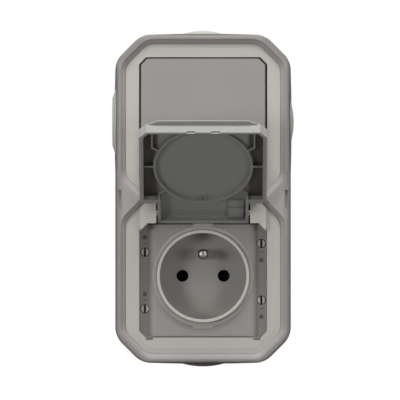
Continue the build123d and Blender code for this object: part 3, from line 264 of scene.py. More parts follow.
def math_node(tree, operation, first, second=None):
    """The result of one sum on sockets or plain numbers."""
    node = add(tree, "ShaderNodeMath", operation=operation)
    for index, value in enumerate((first, second)):
        if value is None:
            continue
        if isinstance(value, (int, float)):
            node.inputs[index].default_value = value
        else:
            tree.links.new(value, node.inputs[index])
    return node.outputs[0]


def chain(tree, operation, *values):
    """One operation over several values in turn."""
    total = values[0]
    for value in values[1:]:
        total = math_node(tree, operation, total, value)
    return total


def weighted_sum(tree, *terms):
    """The sum of values, each times its weight."""
    return chain(tree, "ADD", *(math_node(tree, "MULTIPLY", *term) for term in terms))


def remap(tree, value, low, high, to_low=0.0, to_high=1.0):
    """A value moved from one range to another and held within it."""
    node = add(
        tree, "ShaderNodeMapRange",
        {"From Min": low, "From Max": high, "To Min": to_low, "To Max": to_high}, clamp=True,
    )
    tree.links.new(value, node.inputs["Value"])
    return node.outputs["Result"]


def noise(tree, coords, scale, detail, roughness=0.55, stretch=None):
    """Cloudy noise, drawn out along an axis where stretch is given."""
    if stretch:
        mapping = add(tree, "ShaderNodeMapping", {"Scale": stretch})
        tree.links.new(coords, mapping.inputs["Vector"])
        coords = mapping.outputs["Vector"]
    node = add(
        tree, "ShaderNodeTexNoise", {"Scale": scale, "Detail": detail, "Roughness": roughness}
    )
    tree.links.new(coords, node.inputs["Vector"])
    return node.outputs["Fac"]


def tint(tree, base, other, factor):
    """A colour mixed towards another."""
    node = add(tree, "ShaderNodeMix", data_type="RGBA", blend_type="MIX")
    tree.links.new(factor, node.inputs[0])
    for socket, value in ((node.inputs[6], base), (node.inputs[7], other)):
        if isinstance(value, tuple):
            socket.default_value = value
        else:
            tree.links.new(value, socket)
    return node.outputs[2]


# Shader groups


def new_group(name, inputs, outputs):
    """A shader group with its sockets, each a name and a kind."""
    group = bpy.data.node_groups.new(name, "ShaderNodeTree")
    for direction, sockets in (("INPUT", inputs), ("OUTPUT", outputs)):
        for socket, kind in sockets.items():
            group.interface.new_socket(
                name=socket, in_out=direction, socket_type=f"NodeSocket{kind}"
            )
    return group, group.nodes.new("NodeGroupInput"), group.nodes.new("NodeGroupOutput")


def moulded_grain():
    """Spark-eroded moulding: mottled colour, uneven gloss and a fine pebble."""
    group, source, result = new_group(
        "Moulded grain",
        {"Colour": "Color", "Mottle": "Float", "Roughness": "Float", "Grain scale": "Float"},
        {"Colour": "Color", "Roughness": "Float", "Height": "Float"},
    )
    links = group.links
    coords = object_coords(group)
    broad = noise(group, coords, scale=34.0, detail=3.0)
    cloud = noise(group, coords, scale=210.0, detail=4.0)
    flow = noise(group, coords, scale=60.0, detail=2.0, stretch=(1.0, 1.0, 0.18))
    mixed = weighted_sum(group, (broad, 0.45), (flow, 0.3), (cloud, 0.25))
    centred = math_node(group, "SUBTRACT", mixed, 0.5)
    spread = math_node(group, "MULTIPLY", centred, source.outputs["Mottle"])
    level = math_node(group, "ADD", math_node(group, "MULTIPLY", spread, MOTTLE_CONTRAST), 1.0)
    shade = add(group, "ShaderNodeVectorMath", operation="SCALE")
    links.new(source.outputs["Colour"], shade.inputs[0])
    links.new(level, shade.inputs["Scale"])
    links.new(shade.outputs["Vector"], result.inputs["Colour"])
    fine = add(group, "ShaderNodeTexVoronoi", {"Randomness": 1.0}, feature="SMOOTH_F1")
    links.new(coords, fine.inputs["Vector"])
    links.new(source.outputs["Grain scale"], fine.inputs["Scale"])
    pebble = math_node(group, "SUBTRACT", 1.0, fine.outputs["Distance"])
    height = math_node(group, "ADD", pebble, math_node(group, "MULTIPLY", cloud, 0.4))
    links.new(height, result.inputs["Height"])
    uneven = remap(group, cloud, 0.3, 0.7, -0.05, 0.05)
    gloss = math_node(group, "ADD", source.outputs["Roughness"], uneven)
    links.new(gloss, result.inputs["Roughness"])
    return group


def settled_dust():
    """Pale dust on faces that look up, broken into patches."""
    group, source, result = new_group(
        "Settled dust", {"Colour": "Color", "Amount": "Float"}, {"Colour": "Color"}
    )
    facing = add(group, "ShaderNodeSeparateXYZ")
    group.links.new(add(group, "ShaderNodeNewGeometry").outputs["Normal"], facing.inputs[0])
    cloud = noise(group, object_coords(group), scale=420.0, detail=5.0, roughness=0.7)
    patch = remap(group, cloud, 0.35, 0.7)
    upward = remap(group, facing.outputs["Z"], 0.25, 0.95)
    mask = chain(group, "MULTIPLY", upward, patch, source.outputs["Amount"])
    dusty = tint(group, source.outputs["Colour"], DUST_COLOUR, mask)
    group.links.new(dusty, result.inputs["Colour"])
    return group


def rub_and_shade_outline():
    """A mask that is strongest along the outline of a cut-corner frame, used for rubbed wear and
    for painted shade.
    """
    lengths = ("Centre height", "Half width", "Half height", "Corner", "Band", "Ragged")
    group, source, result = new_group(
        "Rub and shade outline", dict.fromkeys(lengths, "Float"), {"Rub and shade": "Float"}
    )
    centre, half_width, half_height, corner, band, ragged = (
        source.outputs[name] for name in lengths
    )
    coords = object_coords(group)
    place = add(group, "ShaderNodeSeparateXYZ")
    group.links.new(coords, place.inputs[0])
    across = math_node(group, "ABSOLUTE", place.outputs["X"])
    above = math_node(group, "SUBTRACT", place.outputs["Z"], centre)
    along = math_node(group, "ABSOLUTE", above)
    slant = math_node(group, "SUBTRACT", corner, math_node(group, "ADD", across, along))
    nearest = chain(
        group, "MINIMUM",
        math_node(group, "SUBTRACT", half_width, across),
        math_node(group, "SUBTRACT", half_height, along),
        math_node(group, "MULTIPLY", slant, DIAGONAL),
    )
    share = math_node(group, "DIVIDE", nearest, band)
    patchy = remap(group, noise(group, coords, scale=700.0, detail=4.0), 0.3, 0.7, -1.0, 1.0)
    broken = math_node(group, "ADD", share, math_node(group, "MULTIPLY", patchy, ragged))
    group.links.new(remap(group, broken, 0.0, 1.0, 1.0, 0.0), result.inputs["Rub and shade"])
    return group


def tray_inside():
    """Masks of the inner side of a tilted tray, and of the pockets beside a ring in it, where
    shade or a highlight is painted.
    """
    directions = ("Inward", "Along")
    lengths = (
        "Rim", "Floor", "Half width", "End", "Corner",
        "Ring centre", "Ring radius", "Pocket rim", "Pocket side",
    )
    group, source, result = new_group(
        "Tray inside",
        dict.fromkeys(("Hinge", *directions), "Vector") | dict.fromkeys(lengths, "Float"),
        {"Inside": "Float", "Pocket": "Float"},
    )
    given = source.outputs
    coords = object_coords(group)
    place = add(group, "ShaderNodeVectorMath", operation="SUBTRACT")
    group.links.new(coords, place.inputs[0])
    group.links.new(given["Hinge"], place.inputs[1])
    reach = {}
    for name in directions:
        dot = add(group, "ShaderNodeVectorMath", operation="DOT_PRODUCT")
        group.links.new(place.outputs["Vector"], dot.inputs[0])
        group.links.new(given[name], dot.inputs[1])
        reach[name] = dot.outputs["Value"]
    across = add(group, "ShaderNodeSeparateXYZ")
    group.links.new(coords, across.inputs[0])
    side = math_node(group, "ABSOLUTE", across.outputs["X"])
    slant = math_node(group, "ADD", side, reach["Along"])
    nearest = chain(
        group, "MINIMUM",
        math_node(group, "SUBTRACT", given["Rim"], reach["Inward"]),
        math_node(group, "ADD", given["Floor"], reach["Inward"]),
        math_node(group, "SUBTRACT", given["End"], reach["Along"]),
        math_node(group, "SUBTRACT", given["Half width"], side),
        math_node(group, "SUBTRACT", given["Corner"], slant),
    )
    inside = remap(group, nearest, -0.1 * MM, 0.4 * MM)
    group.links.new(inside, result.inputs["Inside"])

    # The pockets beside the ring, which take a darker painted shade
    ring = add(group, "ShaderNodeCombineXYZ")
    group.links.new(across.outputs["X"], ring.inputs["X"])
    from_centre = math_node(group, "SUBTRACT", reach["Along"], given["Ring centre"])
    group.links.new(from_centre, ring.inputs["Y"])
    distance = add(group, "ShaderNodeVectorMath", operation="LENGTH")
    group.links.new(ring.outputs["Vector"], distance.inputs[0])
    beyond = math_node(group, "SUBTRACT", distance.outputs["Value"], given["Ring radius"])
    under = math_node(group, "SUBTRACT", given["Pocket rim"], reach["Inward"])
    outward = math_node(group, "SUBTRACT", side, given["Pocket side"])
    pocket_shade = chain(
        group, "MULTIPLY",
        remap(group, beyond, 0.0, 0.6 * MM),
        remap(group, under, 0.0, 0.8 * MM),
        remap(group, reach["Along"], 3.0 * MM, 7.0 * MM),
        remap(group, outward, 0.0, 2.0 * MM),
        inside,
    )
    group.links.new(pocket_shade, result.inputs["Pocket"])
    return group


def soft_bloom():
    """Soft rubber: a dull powdery bloom and tiny pits."""
    group, source, result = new_group(
        "Soft bloom",
        {"Colour": "Color", "Bloom": "Float"},
        {"Colour": "Color", "Roughness": "Float", "Height": "Float"},
    )
    coords = object_coords(group)
    cloud = noise(group, coords, scale=150.0, detail=5.0, roughness=0.65)
    speck = noise(group, coords, scale=2400.0, detail=2.0)
    patch = remap(group, cloud, 0.35, 0.65)
    bloom = math_node(group, "MULTIPLY", patch, source.outputs["Bloom"])
    powdery = tint(group, source.outputs["Colour"], BLOOM_COLOUR, bloom)
    group.links.new(powdery, result.inputs["Colour"])
    group.links.new(remap(group, cloud, 0.3, 0.7, 0.62, 0.82), result.inputs["Roughness"])
    height = math_node(group, "ADD", speck, math_node(group, "MULTIPLY", cloud, 0.5))
    group.links.new(height, result.inputs["Height"])
    return group


def drawn_metal():
    """Drawn or stamped metal: fine lines along one way, and stains."""
    group, source, result = new_group(
        "Drawn metal",
        {"Colour": "Color", "Stain": "Float", "Roughness": "Float"},
        {"Colour": "Color", "Roughness": "Float", "Height": "Float"},
    )
    coords = object_coords(group)
    lines = noise(group, coords, scale=1400.0, detail=3.0, stretch=(1.0, 0.06, 1.0))
    cloud = noise(group, coords, scale=320.0, detail=4.0, roughness=0.6)
    patch = remap(group, cloud, 0.45, 0.75)
    stain = math_node(group, "MULTIPLY", patch, source.outputs["Stain"])
    stained = tint(group, source.outputs["Colour"], STAIN_COLOUR, stain)
    group.links.new(stained, result.inputs["Colour"])
    uneven = remap(group, lines, 0.3, 0.7, -0.05, 0.1)
    gloss = math_node(group, "ADD", source.outputs["Roughness"], uneven)
    dulled = math_node(group, "ADD", gloss, math_node(group, "MULTIPLY", stain, 0.4))
    group.links.new(dulled, result.inputs["Roughness"])
    group.links.new(lines, result.inputs["Height"])
    return group


GROUPS = {}


def place_group(tree, maker, values):
    """A shader group in a material; each group is built once."""
    if maker.__name__ not in GROUPS:
        GROUPS[maker.__name__] = maker()
    node = add(tree, "ShaderNodeGroup", node_tree=GROUPS[maker.__name__])
    for name, value in values.items():
        if isinstance(value, bpy.types.NodeSocket):
            tree.links.new(value, node.inputs[name])
        else:
            node.inputs[name].default_value = value
    return node


# Materials


def rgba(value, tone=1.0):
    """An opaque colour, lighter or darker by a tone."""
    return (*(min(1.0, channel * tone) for channel in value), 1.0)


def new_material(name):
    """A material with its node tree and its shader."""
    material = bpy.data.materials.new(name)
    material.use_nodes = True
    shader = material.node_tree.nodes["Principled BSDF"]
    return material, material.node_tree, shader


def bump(tree, shader, height, strength, distance):
    """Fine relief on a shader."""
    node = add(tree, "ShaderNodeBump", {"Strength": strength, "Distance": distance})
    tree.links.new(height, node.inputs["Height"])
    tree.links.new(node.outputs["Normal"], shader.inputs["Normal"])


def moulded_plastic(
    name, base, roughness, mottle=0.035, grain=2600.0, relief=0.25, dust=0.1, gloss_level=0.2,
    rub_and_shade=None, rub_and_shade_tone=1.0, inner=None, painted_shade_and_light_tone=1.0,
):
    """Moulded plastic; an outline band and an inner region can each have a tone of their own:
    the band as rubbed wear or painted shade, the region as painted shade or a painted highlight.
    """
    material, tree, shader = new_material(name)
    shader.inputs["Specular IOR Level"].default_value = gloss_level
    grainy = place_group(
        tree, moulded_grain,
        {"Colour": rgba(base), "Mottle": mottle, "Roughness": roughness, "Grain scale": grain},
    )
    dusty = place_group(
        tree, settled_dust, {"Colour": grainy.outputs["Colour"], "Amount": dust}
    )
    surface = dusty.outputs["Colour"]
    gloss = grainy.outputs["Roughness"]
    # The inner region takes painted shade, or a painted highlight where its tone is above one;
    # its pockets take painted shade.
    if inner:
        region = place_group(tree, tray_inside, inner)
        surface = tint(tree, surface, rgba(base, painted_shade_and_light_tone), region.outputs["Inside"])
        surface = tint(tree, surface, POCKET_SHADE_COLOUR, region.outputs["Pocket"])
    # Along the outline: rubbed wear on the surrounds, painted shade on the bezel's rim and in
    # the rocker's seam
    if rub_and_shade:
        rubbed_and_shaded = place_group(tree, rub_and_shade_outline, rub_and_shade).outputs["Rub and shade"]
        surface = tint(tree, surface, rgba(base, rub_and_shade_tone), rubbed_and_shaded)
        gloss = math_node(tree, "SUBTRACT", gloss, math_node(tree, "MULTIPLY", rubbed_and_shaded, 0.1))
    tree.links.new(surface, shader.inputs["Base Color"])
    tree.links.new(gloss, shader.inputs["Roughness"])
    bump(tree, shader, grainy.outputs["Height"], relief, GRAIN_DEPTH)
    return material


def soft_rubber(name, base, bloom):
    """Dull rubber or elastomer."""
    material, tree, shader = new_material(name)
    shader.inputs["Specular IOR Level"].default_value = 0.06
    soft = place_group(tree, soft_bloom, {"Colour": rgba(base), "Bloom": bloom})
    tree.links.new(soft.outputs["Colour"], shader.inputs["Base Color"])
    tree.links.new(soft.outputs["Roughness"], shader.inputs["Roughness"])
    bump(tree, shader, soft.outputs["Height"], 0.3, PIT_DEPTH)
    return material


def metal(name, base, roughness, stain):
    """Bare or plated metal."""
    material, tree, shader = new_material(name)
    drawn = place_group(
        tree, drawn_metal, {"Colour": rgba(base), "Stain": stain, "Roughness": roughness}
    )
    tree.links.new(drawn.outputs["Colour"], shader.inputs["Base Color"])
    tree.links.new(drawn.outputs["Roughness"], shader.inputs["Roughness"])
    shader.inputs["Metallic"].default_value = 1.0
    bump(tree, shader, drawn.outputs["Height"], 0.15, LINE_DEPTH)
    return material


def dress(material, *nodes):
    """Gives CAD nodes a material."""
    for node in nodes:
        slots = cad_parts[node].material_slots
        if not slots:
            raise RuntimeError(f"{node} has no material slot")
        for slot in slots:
            slot.material = material


def outline_of(node, corner_cut, band, ragged):
    """The outline of a cut-corner node, from its own box."""
    low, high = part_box(node)
    half_width = (high.x - low.x) / 2.0
    half_height = (high.z - low.z) / 2.0
    return {
        "Centre height": (high.z + low.z) / 2.0,
        "Half width": half_width,
        "Half height": half_height,
        "Corner": half_width + half_height - corner_cut,
        "Band": band,
        "Ragged": ragged,
    }


def depth_band(node, start=-OUT_OF_REACH, end=OUT_OF_REACH):
    """What of a node lies between two depths behind its foremost point, where shade or a
    highlight is painted.
    """
    low, _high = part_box(node)
    return {
        "Hinge": (0.0, low.y, 0.0),
        "Inward": (0.0, 1.0, 0.0),
        "Along": (0.0, 0.0, 1.0),
        "Rim": end,
        "Floor": -start,
        "Half width": OUT_OF_REACH,
        "End": OUT_OF_REACH,
        "Corner": OUT_OF_REACH,
        "Ring radius": OUT_OF_REACH,
    }


# Mesh pieces


def finish_mesh(name, shape, body, material):
    """Closes a bmesh into an object that rides on a body."""
    bmesh.ops.recalc_face_normals(shape, faces=shape.faces)
    mesh = bpy.data.meshes.new(name)
    shape.to_mesh(mesh)
    shape.free()
    mesh.materials.append(material)
    piece = bpy.data.objects.new(name, mesh)
    bpy.context.scene.collection.objects.link(piece)
    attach(piece, body)
    return piece


def raised_bar(shape, centre, size, rounding):
    """A small bar with rounded edges, added to a bmesh."""
    corners = bmesh.ops.create_cube(shape, size=1.0)["verts"]
    bmesh.ops.scale(shape, vec=size, verts=corners)
    bmesh.ops.translate(shape, vec=centre, verts=corners)
    edges = {edge for corner in corners for edge in corner.link_edges}
    bmesh.ops.bevel(
        shape, geom=list(edges), offset=rounding, offset_type="OFFSET", affect="EDGES",
        segments=2, profile=0.5, material=-1,
    )


def raised_arch(shape, centre, radius, stroke, height):
    """A raised line along a half circle on a face that looks towards -Y."""
    inner = radius - stroke / 2.0
    outer = radius + stroke / 2.0
    section = [
        shape.verts.new(centre + Vector((x, y, 0.0)))
        for x, y in ((inner, 0.0), (outer, 0.0), (outer, -height), (inner, -height))
    ]
    face = shape.faces.new(section)
    bmesh.ops.spin(
        shape, geom=[face, *face.edges, *section], cent=centre, axis=Vector((0.0, -1.0, 0.0)),
        angle=math.pi, steps=ARC_STEPS, use_merge=False, use_duplicate=False,
    )


class CaseOperator(bpy.types.Operator):
    """Finishes the box, bezel, surrounds, cable entries and flat seals, with painted shade on
    the bezel's rim and the bottom entry and a painted highlight on the hinge ears
    """

    bl_idname = "wall_unit.case_finish"
    bl_label = "Case finishes"

    def execute(self, context):
        paint = context.scene.wall_unit_case
        shade = context.scene.wall_unit_shade
        box = moulded_plastic(
            "Box plastic", paint.box, roughness=0.62, grain=2200.0, relief=0.35, gloss_level=0.03
        )
        dress(box, "back_box")
        # The bezel's darker rim is painted shade
        rim = outline_of("front_bezel", shade.bezel_corner, shade.bezel_shade_band, EVEN_SHADE)
        bezel = moulded_plastic(
            "Bezel plastic", paint.bezel, roughness=0.55, grain=2400.0, relief=0.3,
            gloss_level=0.06, rub_and_shade=rim, rub_and_shade_tone=shade.bezel_shade_tone,
        )
        dress(bezel, "front_bezel")
        # The socket surround's hinge ears are lighter by a painted highlight
        ears = depth_band("socket_surround", end=shade.ear_highlight_depth)
        for node, label, highlight_zone in (
            ("switch_surround", "Switch frame plastic", None),
            ("socket_surround", "Socket frame plastic", ears),
        ):
            outline = outline_of(node, shade.frame_corner, shade.frame_band, RAGGED_WEAR)
            surround = moulded_plastic(
                label, paint.surround, roughness=0.48, relief=0.22,
                rub_and_shade=outline, rub_and_shade_tone=shade.frame_tone, inner=highlight_zone, painted_shade_and_light_tone=shade.ear_highlight_tone,
            )
            dress(surround, node)
        entry = soft_rubber("Entry elastomer", paint.entry, bloom=0.1)
        dress(entry, "left_membrane", "right_plug", "top_plug")
        # The bottom entry takes a darker copy of the entry colour as painted shade
        dress(soft_rubber("Blank elastomer", paint.shaded_entry, bloom=0.05), "bottom_plug")
        dress(soft_rubber("Seal rubber", paint.seal, bloom=0.04), "box_gasket", "rocker_seal")
        return {"FINISHED"}


class SwitchOperator(bpy.types.Operator):
    """Finishes the rocker, with painted shade in the seam round it, the inner mouldings, the
    contacts and the steel parts
    """

    bl_idname = "wall_unit.switch_finish"
    bl_label = "Switch finishes"

    def execute(self, context):
        paint = context.scene.wall_unit_switch
        metals = context.scene.wall_unit_socket
        shade = context.scene.wall_unit_shade
        # The dark seam round the rocker is painted shade in its gap
        seam = outline_of("rocker_cap", shade.rocker_corner, shade.seam_shade_band, EVEN_SHADE)
        rocker = moulded_plastic(
            "Rocker plastic", paint.rocker, roughness=0.42, mottle=0.03, grain=3000.0,
            relief=0.16, rub_and_shade=seam, rub_and_shade_tone=shade.seam_shade_tone,
        )
        dress(rocker, "rocker_cap")
        insulator = moulded_plastic(
            "Insulating plastic", paint.insulator, roughness=0.45, relief=0.15
        )
        dress(insulator, "rocker_cradle", "switch_base", "toggle_plunger", "socket_base")
        brass = metal("Stamped brass", metals.brass, roughness=0.28, stain=0.2)
        dress(
            brass, "moving_contact", "contact_support", "upper_contact", "lower_contact",
            "earth_strap", "live_contact", "neutral_contact",
        )
        steel = metal("Zinc-plated steel", metals.steel, roughness=0.32, stain=0.12)
        dress(
            steel, "toggle_spring", "switch_terminal_screws", "socket_terminal_screws",
            "hinge_pin_left", "hinge_pin_right",
        )
        return {"FINISHED"}


class SocketOperator(bpy.types.Operator):
    """Finishes the socket plate, well, collar, locks, shutter and earth pin, with painted shade
    in the plate's recesses, inside the well and in the lock slots
    """

    bl_idname = "wall_unit.socket_finish"
    bl_label = "Socket finishes"

    def execute(self, context):
        paint = context.scene.wall_unit_socket
        shade = context.scene.wall_unit_shade
        lock_low, _lock_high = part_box(LOCKS[0])
        plate_low, _plate_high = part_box("socket_plate")
        channel_depth = lock_low.y + LOCK_PROUD - plate_low.y
        # Painted shade in the plate's recesses, deeper than the channel round the locks
        plate = moulded_plastic(
            "Plate plastic", paint.plate, roughness=0.46, grain=2800.0, relief=0.2,
            inner=depth_band("socket_plate", start=channel_depth + shade.recess_shade_depth),
            painted_shade_and_light_tone=shade.recess_shade_tone,
        )
        dress(plate, "socket_plate")
        # Painted shade inside the well, deeper than its rim
        well = moulded_plastic(
            "Well plastic", paint.well, roughness=0.36, grain=3200.0, relief=0.1, dust=0.05,
            inner=depth_band("socket_well", start=shade.well_shade_depth), painted_shade_and_light_tone=shade.well_shade_tone,
        )
        dress(well, "socket_well")
        dress(soft_rubber("Collar rubber", paint.collar, bloom=0.12), "well_seal")
        # Painted shade in the lock slots
        lock = moulded_plastic(
            "Lock plastic", paint.lock, roughness=0.38, grain=3200.0, relief=0.1,
            inner=depth_band(LOCKS[0], start=shade.slot_shade_depth), painted_shade_and_light_tone=shade.slot_shade_tone,
        )
        dress(lock, *LOCKS)
        shutter = moulded_plastic(
            "Shutter plastic", paint.shutter, roughness=0.6, gloss_level=0.0
        )
        dress(shutter, "shutter")
        dress(metal("Bright nickel", paint.nickel, roughness=0.26, stain=0.06), "earth_pin")
        return {"FINISHED"}


class ShutterSpringOperator(bpy.types.Operator):
    """Winds the shutter's return spring at its free length"""

    bl_idname = "wall_unit.shutter_spring"
    bl_label = "Shutter spring"

    def execute(self, context):
        spring = context.scene.wall_unit_spring
        low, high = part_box("shutter_spring")
        middle = (low + high) / 2.0
        free_length = high.x - low.x
        wire_radius = spring.wire / 2.0
        coil_radius = (high.z - low.z) / 2.0 - wire_radius
        shape = bmesh.new()
        section = bmesh.ops.create_circle(
            shape, cap_ends=True, radius=wire_radius, segments=WIRE_SIDES
        )["verts"]
        upright = Matrix.Rotation(math.pi / 2.0, 3, "X")
        bmesh.ops.rotate(shape, cent=Vector((0.0, 0.0, 0.0)), matrix=upright, verts=section)
        start = Vector((low.x + wire_radius, middle.y, middle.z + coil_radius))
        bmesh.ops.translate(shape, vec=start, verts=section)
        steps = spring.turns * STEPS_PER_TURN
        rise = (free_length - spring.wire) / steps
        bmesh.ops.spin(
            shape, geom=[*shape.faces, *shape.edges, *section], cent=middle,
            axis=Vector((1.0, 0.0, 0.0)), dvec=Vector((rise, 0.0, 0.0)),
            angle=2.0 * math.pi * spring.turns, steps=steps, use_merge=False,
            use_duplicate=False,
        )
        steel = context.scene.wall_unit_socket.steel
        material = metal("Spring wire", steel, roughness=0.32, stain=0.12)
        coil = finish_mesh("shutter_return_spring", shape, "case", material)
        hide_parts("shutter_spring")
        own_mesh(coil)
        return {"FINISHED"}


class FlapOperator(bpy.types.Operator):
    """Finishes the hinged flap, with painted shade on its inner side and in its side pockets"""

    bl_idname = "wall_unit.flap_finish"
    bl_label = "Flap finish"

    def execute(self, context):
        paint = context.scene.wall_unit_socket
        tray = context.scene.wall_unit_flap
        pin_low, pin_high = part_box("hinge_pin_left")
        hinge = (pin_low + pin_high) / 2.0
        seal_low, seal_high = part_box("well_seal")
        ring = (seal_low + seal_high) / 2.0
        lean = math.cos(tray.open_angle)
        rise = math.sin(tray.open_angle)
        inner = {
            "Hinge": (0.0, hinge.y, hinge.z),
            "Inward": (0.0, lean, -rise),
            "Along": (0.0, -rise, -lean),
            "Rim": tray.rim,
            "Floor": tray.floor,
            "Half width": tray.half_width,
            "End": tray.end,
            "Corner": tray.corner,
            "Ring centre": hinge.z - ring.z,
            "Ring radius": tray.ring_radius,
            "Pocket rim": tray.pocket_rim,
            "Pocket side": tray.pocket_side,
        }
        # Painted shade on the flap's inner side, and a darker painted shade in its side pockets
        flap = moulded_plastic(
            "Flap plastic", paint.flap, roughness=0.42, grain=3000.0, relief=0.16,
            gloss_level=0.12, inner=inner, painted_shade_and_light_tone=context.scene.wall_unit_shade.flap_shade_tone,
        )
        dress(flap, "flap")
        return {"FINISHED"}


class MarksOperator(bpy.types.Operator):
    """Moulds the small raised dashes and padlock signs beside the locks"""

    bl_idname = "wall_unit.lock_marks"
    bl_label = "Lock marks"

    def execute(self, context):
        mark = context.scene.wall_unit_marks
        material = moulded_plastic("Mark plastic", mark.tone, roughness=0.6, gloss_level=0.05)
        for lock in LOCKS:
            low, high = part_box(lock)
            side = math.copysign(1.0, high.x + low.x)
            # The marks stand over the left locks and under the right ones.
            way = -side
            face = low.y + LOCK_PROUD
            place = Vector((side * LOCK_X, face + mark.sunk, (high.z + low.z) / 2.0))
            shape = bmesh.new()
            raised_bar(
                shape,
                place + Vector((0.0, -mark.height / 2.0, way * mark.dash_offset)),
                Vector((mark.dash_length, mark.height + 2.0 * mark.sunk, mark.stroke)),
                mark.dash_edge,
            )
            sign = place + Vector((0.0, 0.0, way * mark.sign_offset))
            raised_bar(
                shape,
                sign + Vector((0.0, -mark.height / 2.0, -mark.body_drop)),
                Vector((mark.body_width, mark.height + mark.sunk, mark.body_height)),
                mark.body_edge,
            )
            raised_arch(shape, sign, mark.shackle_radius, mark.stroke, mark.height)
            finish_mesh(f"{lock}_mark", shape, "case", material)
        return {"FINISHED"}


# Studio


def soft_light(name, place, size, share):
    """A soft light; a share of 1 shows a facing surface in its own colour.

    A light whose name ends in fill leaves no highlight.
    """
    towards = LIGHT_AIM - place
    data = bpy.data.lights.new(name, "AREA")
    data.shape = "RECTANGLE"
    data.size, data.size_y = size
    data.energy = math.pi ** 2 * towards.length ** 2 * share
    lamp = bpy.data.objects.new(name, data)
    bpy.context.scene.collection.objects.link(lamp)
    lamp.visible_glossy = not name.endswith("fill")
    turn = towards.to_track_quat("-Z", "Y").to_matrix().to_4x4()
    lamp.matrix_world = Matrix.Translation(place) @ turn


def pale_floor(studio):
    """A round floor of pale paper, far under the unit."""
    shape = bmesh.new()
    bmesh.ops.create_circle(
        shape, cap_ends=True, radius=studio.floor_radius, segments=FLOOR_SIDES
    )
    bmesh.ops.translate(shape, vec=Vector((0.0, 0.0, -studio.floor_drop)), verts=shape.verts)
    mesh = bpy.data.meshes.new("studio_floor")
    shape.to_mesh(mesh)
    shape.free()
    material, tree, shader = new_material("Floor paper")
    fibre = noise(tree, object_coords(tree), scale=40.0, detail=4.0)
    paper = tint(tree, PAPER_COLOUR, FIBRE_COLOUR, fibre)
    tree.links.new(paper, shader.inputs["Base Color"])
    shader.inputs["Roughness"].default_value = 0.9
    mesh.materials.append(material)
    floor = bpy.data.objects.new("studio_floor", mesh)
    bpy.context.scene.collection.objects.link(floor)


def white_backdrop(studio):
    """A world that is white to look at and gives little light of its own."""
    world = bpy.data.worlds.new("Studio")
    bpy.context.scene.world = world
    world.use_nodes = True
    tree = world.node_tree
    backdrop = tree.nodes["Background"]
    rays = add(tree, "ShaderNodeLightPath").outputs
    mirrored = math_node(tree, "MULTIPLY", rays["Is Glossy Ray"], studio.reflected)
    seen = chain(
        tree, "MAXIMUM", rays["Is Camera Ray"], rays["Is Transmission Ray"], mirrored
    )
    strength = remap(tree, seen, 0.0, 1.0, studio.ambient, 1.0)
    tree.links.new(strength, backdrop.inputs["Strength"])
    backdrop.inputs["Color"].default_value = (1.0, 1.0, 1.0, 1.0)


def photo_camera(studio):
    """A camera that looks square on at the front."""
    data = bpy.data.cameras.new("photo_camera")
    data.sensor_width = 36.0
    data.lens = data.sensor_width * studio.camera_distance / studio.view_width
    data.clip_start = 0.1
    data.clip_end = 20.0
    camera = bpy.data.objects.new("photo_camera", data)
    depth = studio.front_plane + studio.camera_distance
    camera.location = (studio.camera_x, -depth, studio.camera_z)
    camera.rotation_euler = (math.radians(90.0), 0.0, 0.0)
    bpy.context.scene.collection.objects.link(camera)
    bpy.context.scene.camera = camera


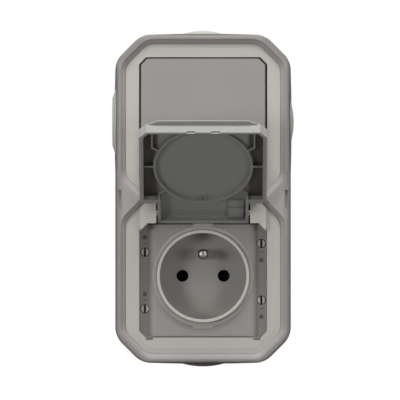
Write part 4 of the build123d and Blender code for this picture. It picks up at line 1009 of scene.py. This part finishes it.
class StageOperator(bpy.types.Operator):
    """Sets up the pale floor, the soft lights and the camera"""

    bl_idname = "wall_unit.stage"
    bl_label = "Stage"

    def execute(self, context):
        studio = context.scene.wall_unit_studio
        context.scene.view_settings.view_transform = "Standard"
        pale_floor(studio)
        white_backdrop(studio)
        for name, place, size, share in (
            ("left_key", (-0.66, -0.88, 0.0), (0.26, 0.26), studio.left_key),
            ("right_key", (0.66, -0.88, 0.0), (0.26, 0.26), studio.right_key),
            ("left_strip", (-0.92, -0.33, 0.08), (0.3, 0.6), studio.left_strip),
            ("right_strip", (0.92, -0.33, 0.08), (0.3, 0.6), studio.right_strip),
            ("high_left", (-0.6, -0.6, 0.6), (0.4, 0.4), studio.high_left),
            ("high_right", (0.6, -0.6, 0.6), (0.4, 0.4), studio.high_right),
            ("low_fill", (0.0, -0.85, -0.6), (0.4, 0.3), studio.low_fill),
            ("left_fill", (-0.98, 0.16, 0.05), (0.4, 0.6), studio.side_fill),
            ("right_fill", (0.98, 0.16, 0.05), (0.4, 0.6), studio.side_fill),
            ("back_fill", (0.0, 1.0, 0.0), (0.5, 0.5), studio.back_fill),
            ("top_strip", (0.0, -0.42, 0.9), (0.6, 0.45), studio.top_strip),
        ):
            soft_light(name, Vector(place), size, share)
        photo_camera(studio)
        return {"FINISHED"}


PROPERTY_GROUPS = {
    "wall_unit_case": CaseFinish,
    "wall_unit_switch": SwitchFinish,
    "wall_unit_socket": SocketFinish,
    "wall_unit_shade": WearAndShade,
    "wall_unit_flap": FlapShape,
    "wall_unit_spring": SpringShape,
    "wall_unit_marks": MarkShape,
    "wall_unit_studio": StudioSetup,
}
OPERATORS = (
    CaseOperator, SwitchOperator, SocketOperator, ShutterSpringOperator, FlapOperator,
    MarksOperator, StageOperator,
)


class WallUnitPanel(bpy.types.Panel):
    """Lists the steps that dress the unit"""

    bl_idname = "VIEW3D_PT_wall_unit"
    bl_label = "Wall unit"
    bl_space_type = "VIEW_3D"
    bl_region_type = "UI"
    bl_category = "Wall unit"

    def draw(self, context):
        for operator in OPERATORS:
            self.layout.operator(operator.bl_idname)


CLASSES = (*PROPERTY_GROUPS.values(), *OPERATORS, WallUnitPanel)


def register():
    for cls in CLASSES:
        bpy.utils.register_class(cls)
    for name, group in PROPERTY_GROUPS.items():
        setattr(bpy.types.Scene, name, bpy.props.PointerProperty(type=group))


def unregister():
    for name in PROPERTY_GROUPS:
        delattr(bpy.types.Scene, name)
    for cls in reversed(CLASSES):
        bpy.utils.unregister_class(cls)


def main():
    register()
    bpy.ops.wall_unit.case_finish()
    bpy.ops.wall_unit.switch_finish()
    bpy.ops.wall_unit.socket_finish()
    bpy.ops.wall_unit.shutter_spring()
    bpy.ops.wall_unit.flap_finish()
    bpy.ops.wall_unit.lock_marks()
    bpy.ops.wall_unit.stage()


if __name__ == "__main__":
    main()
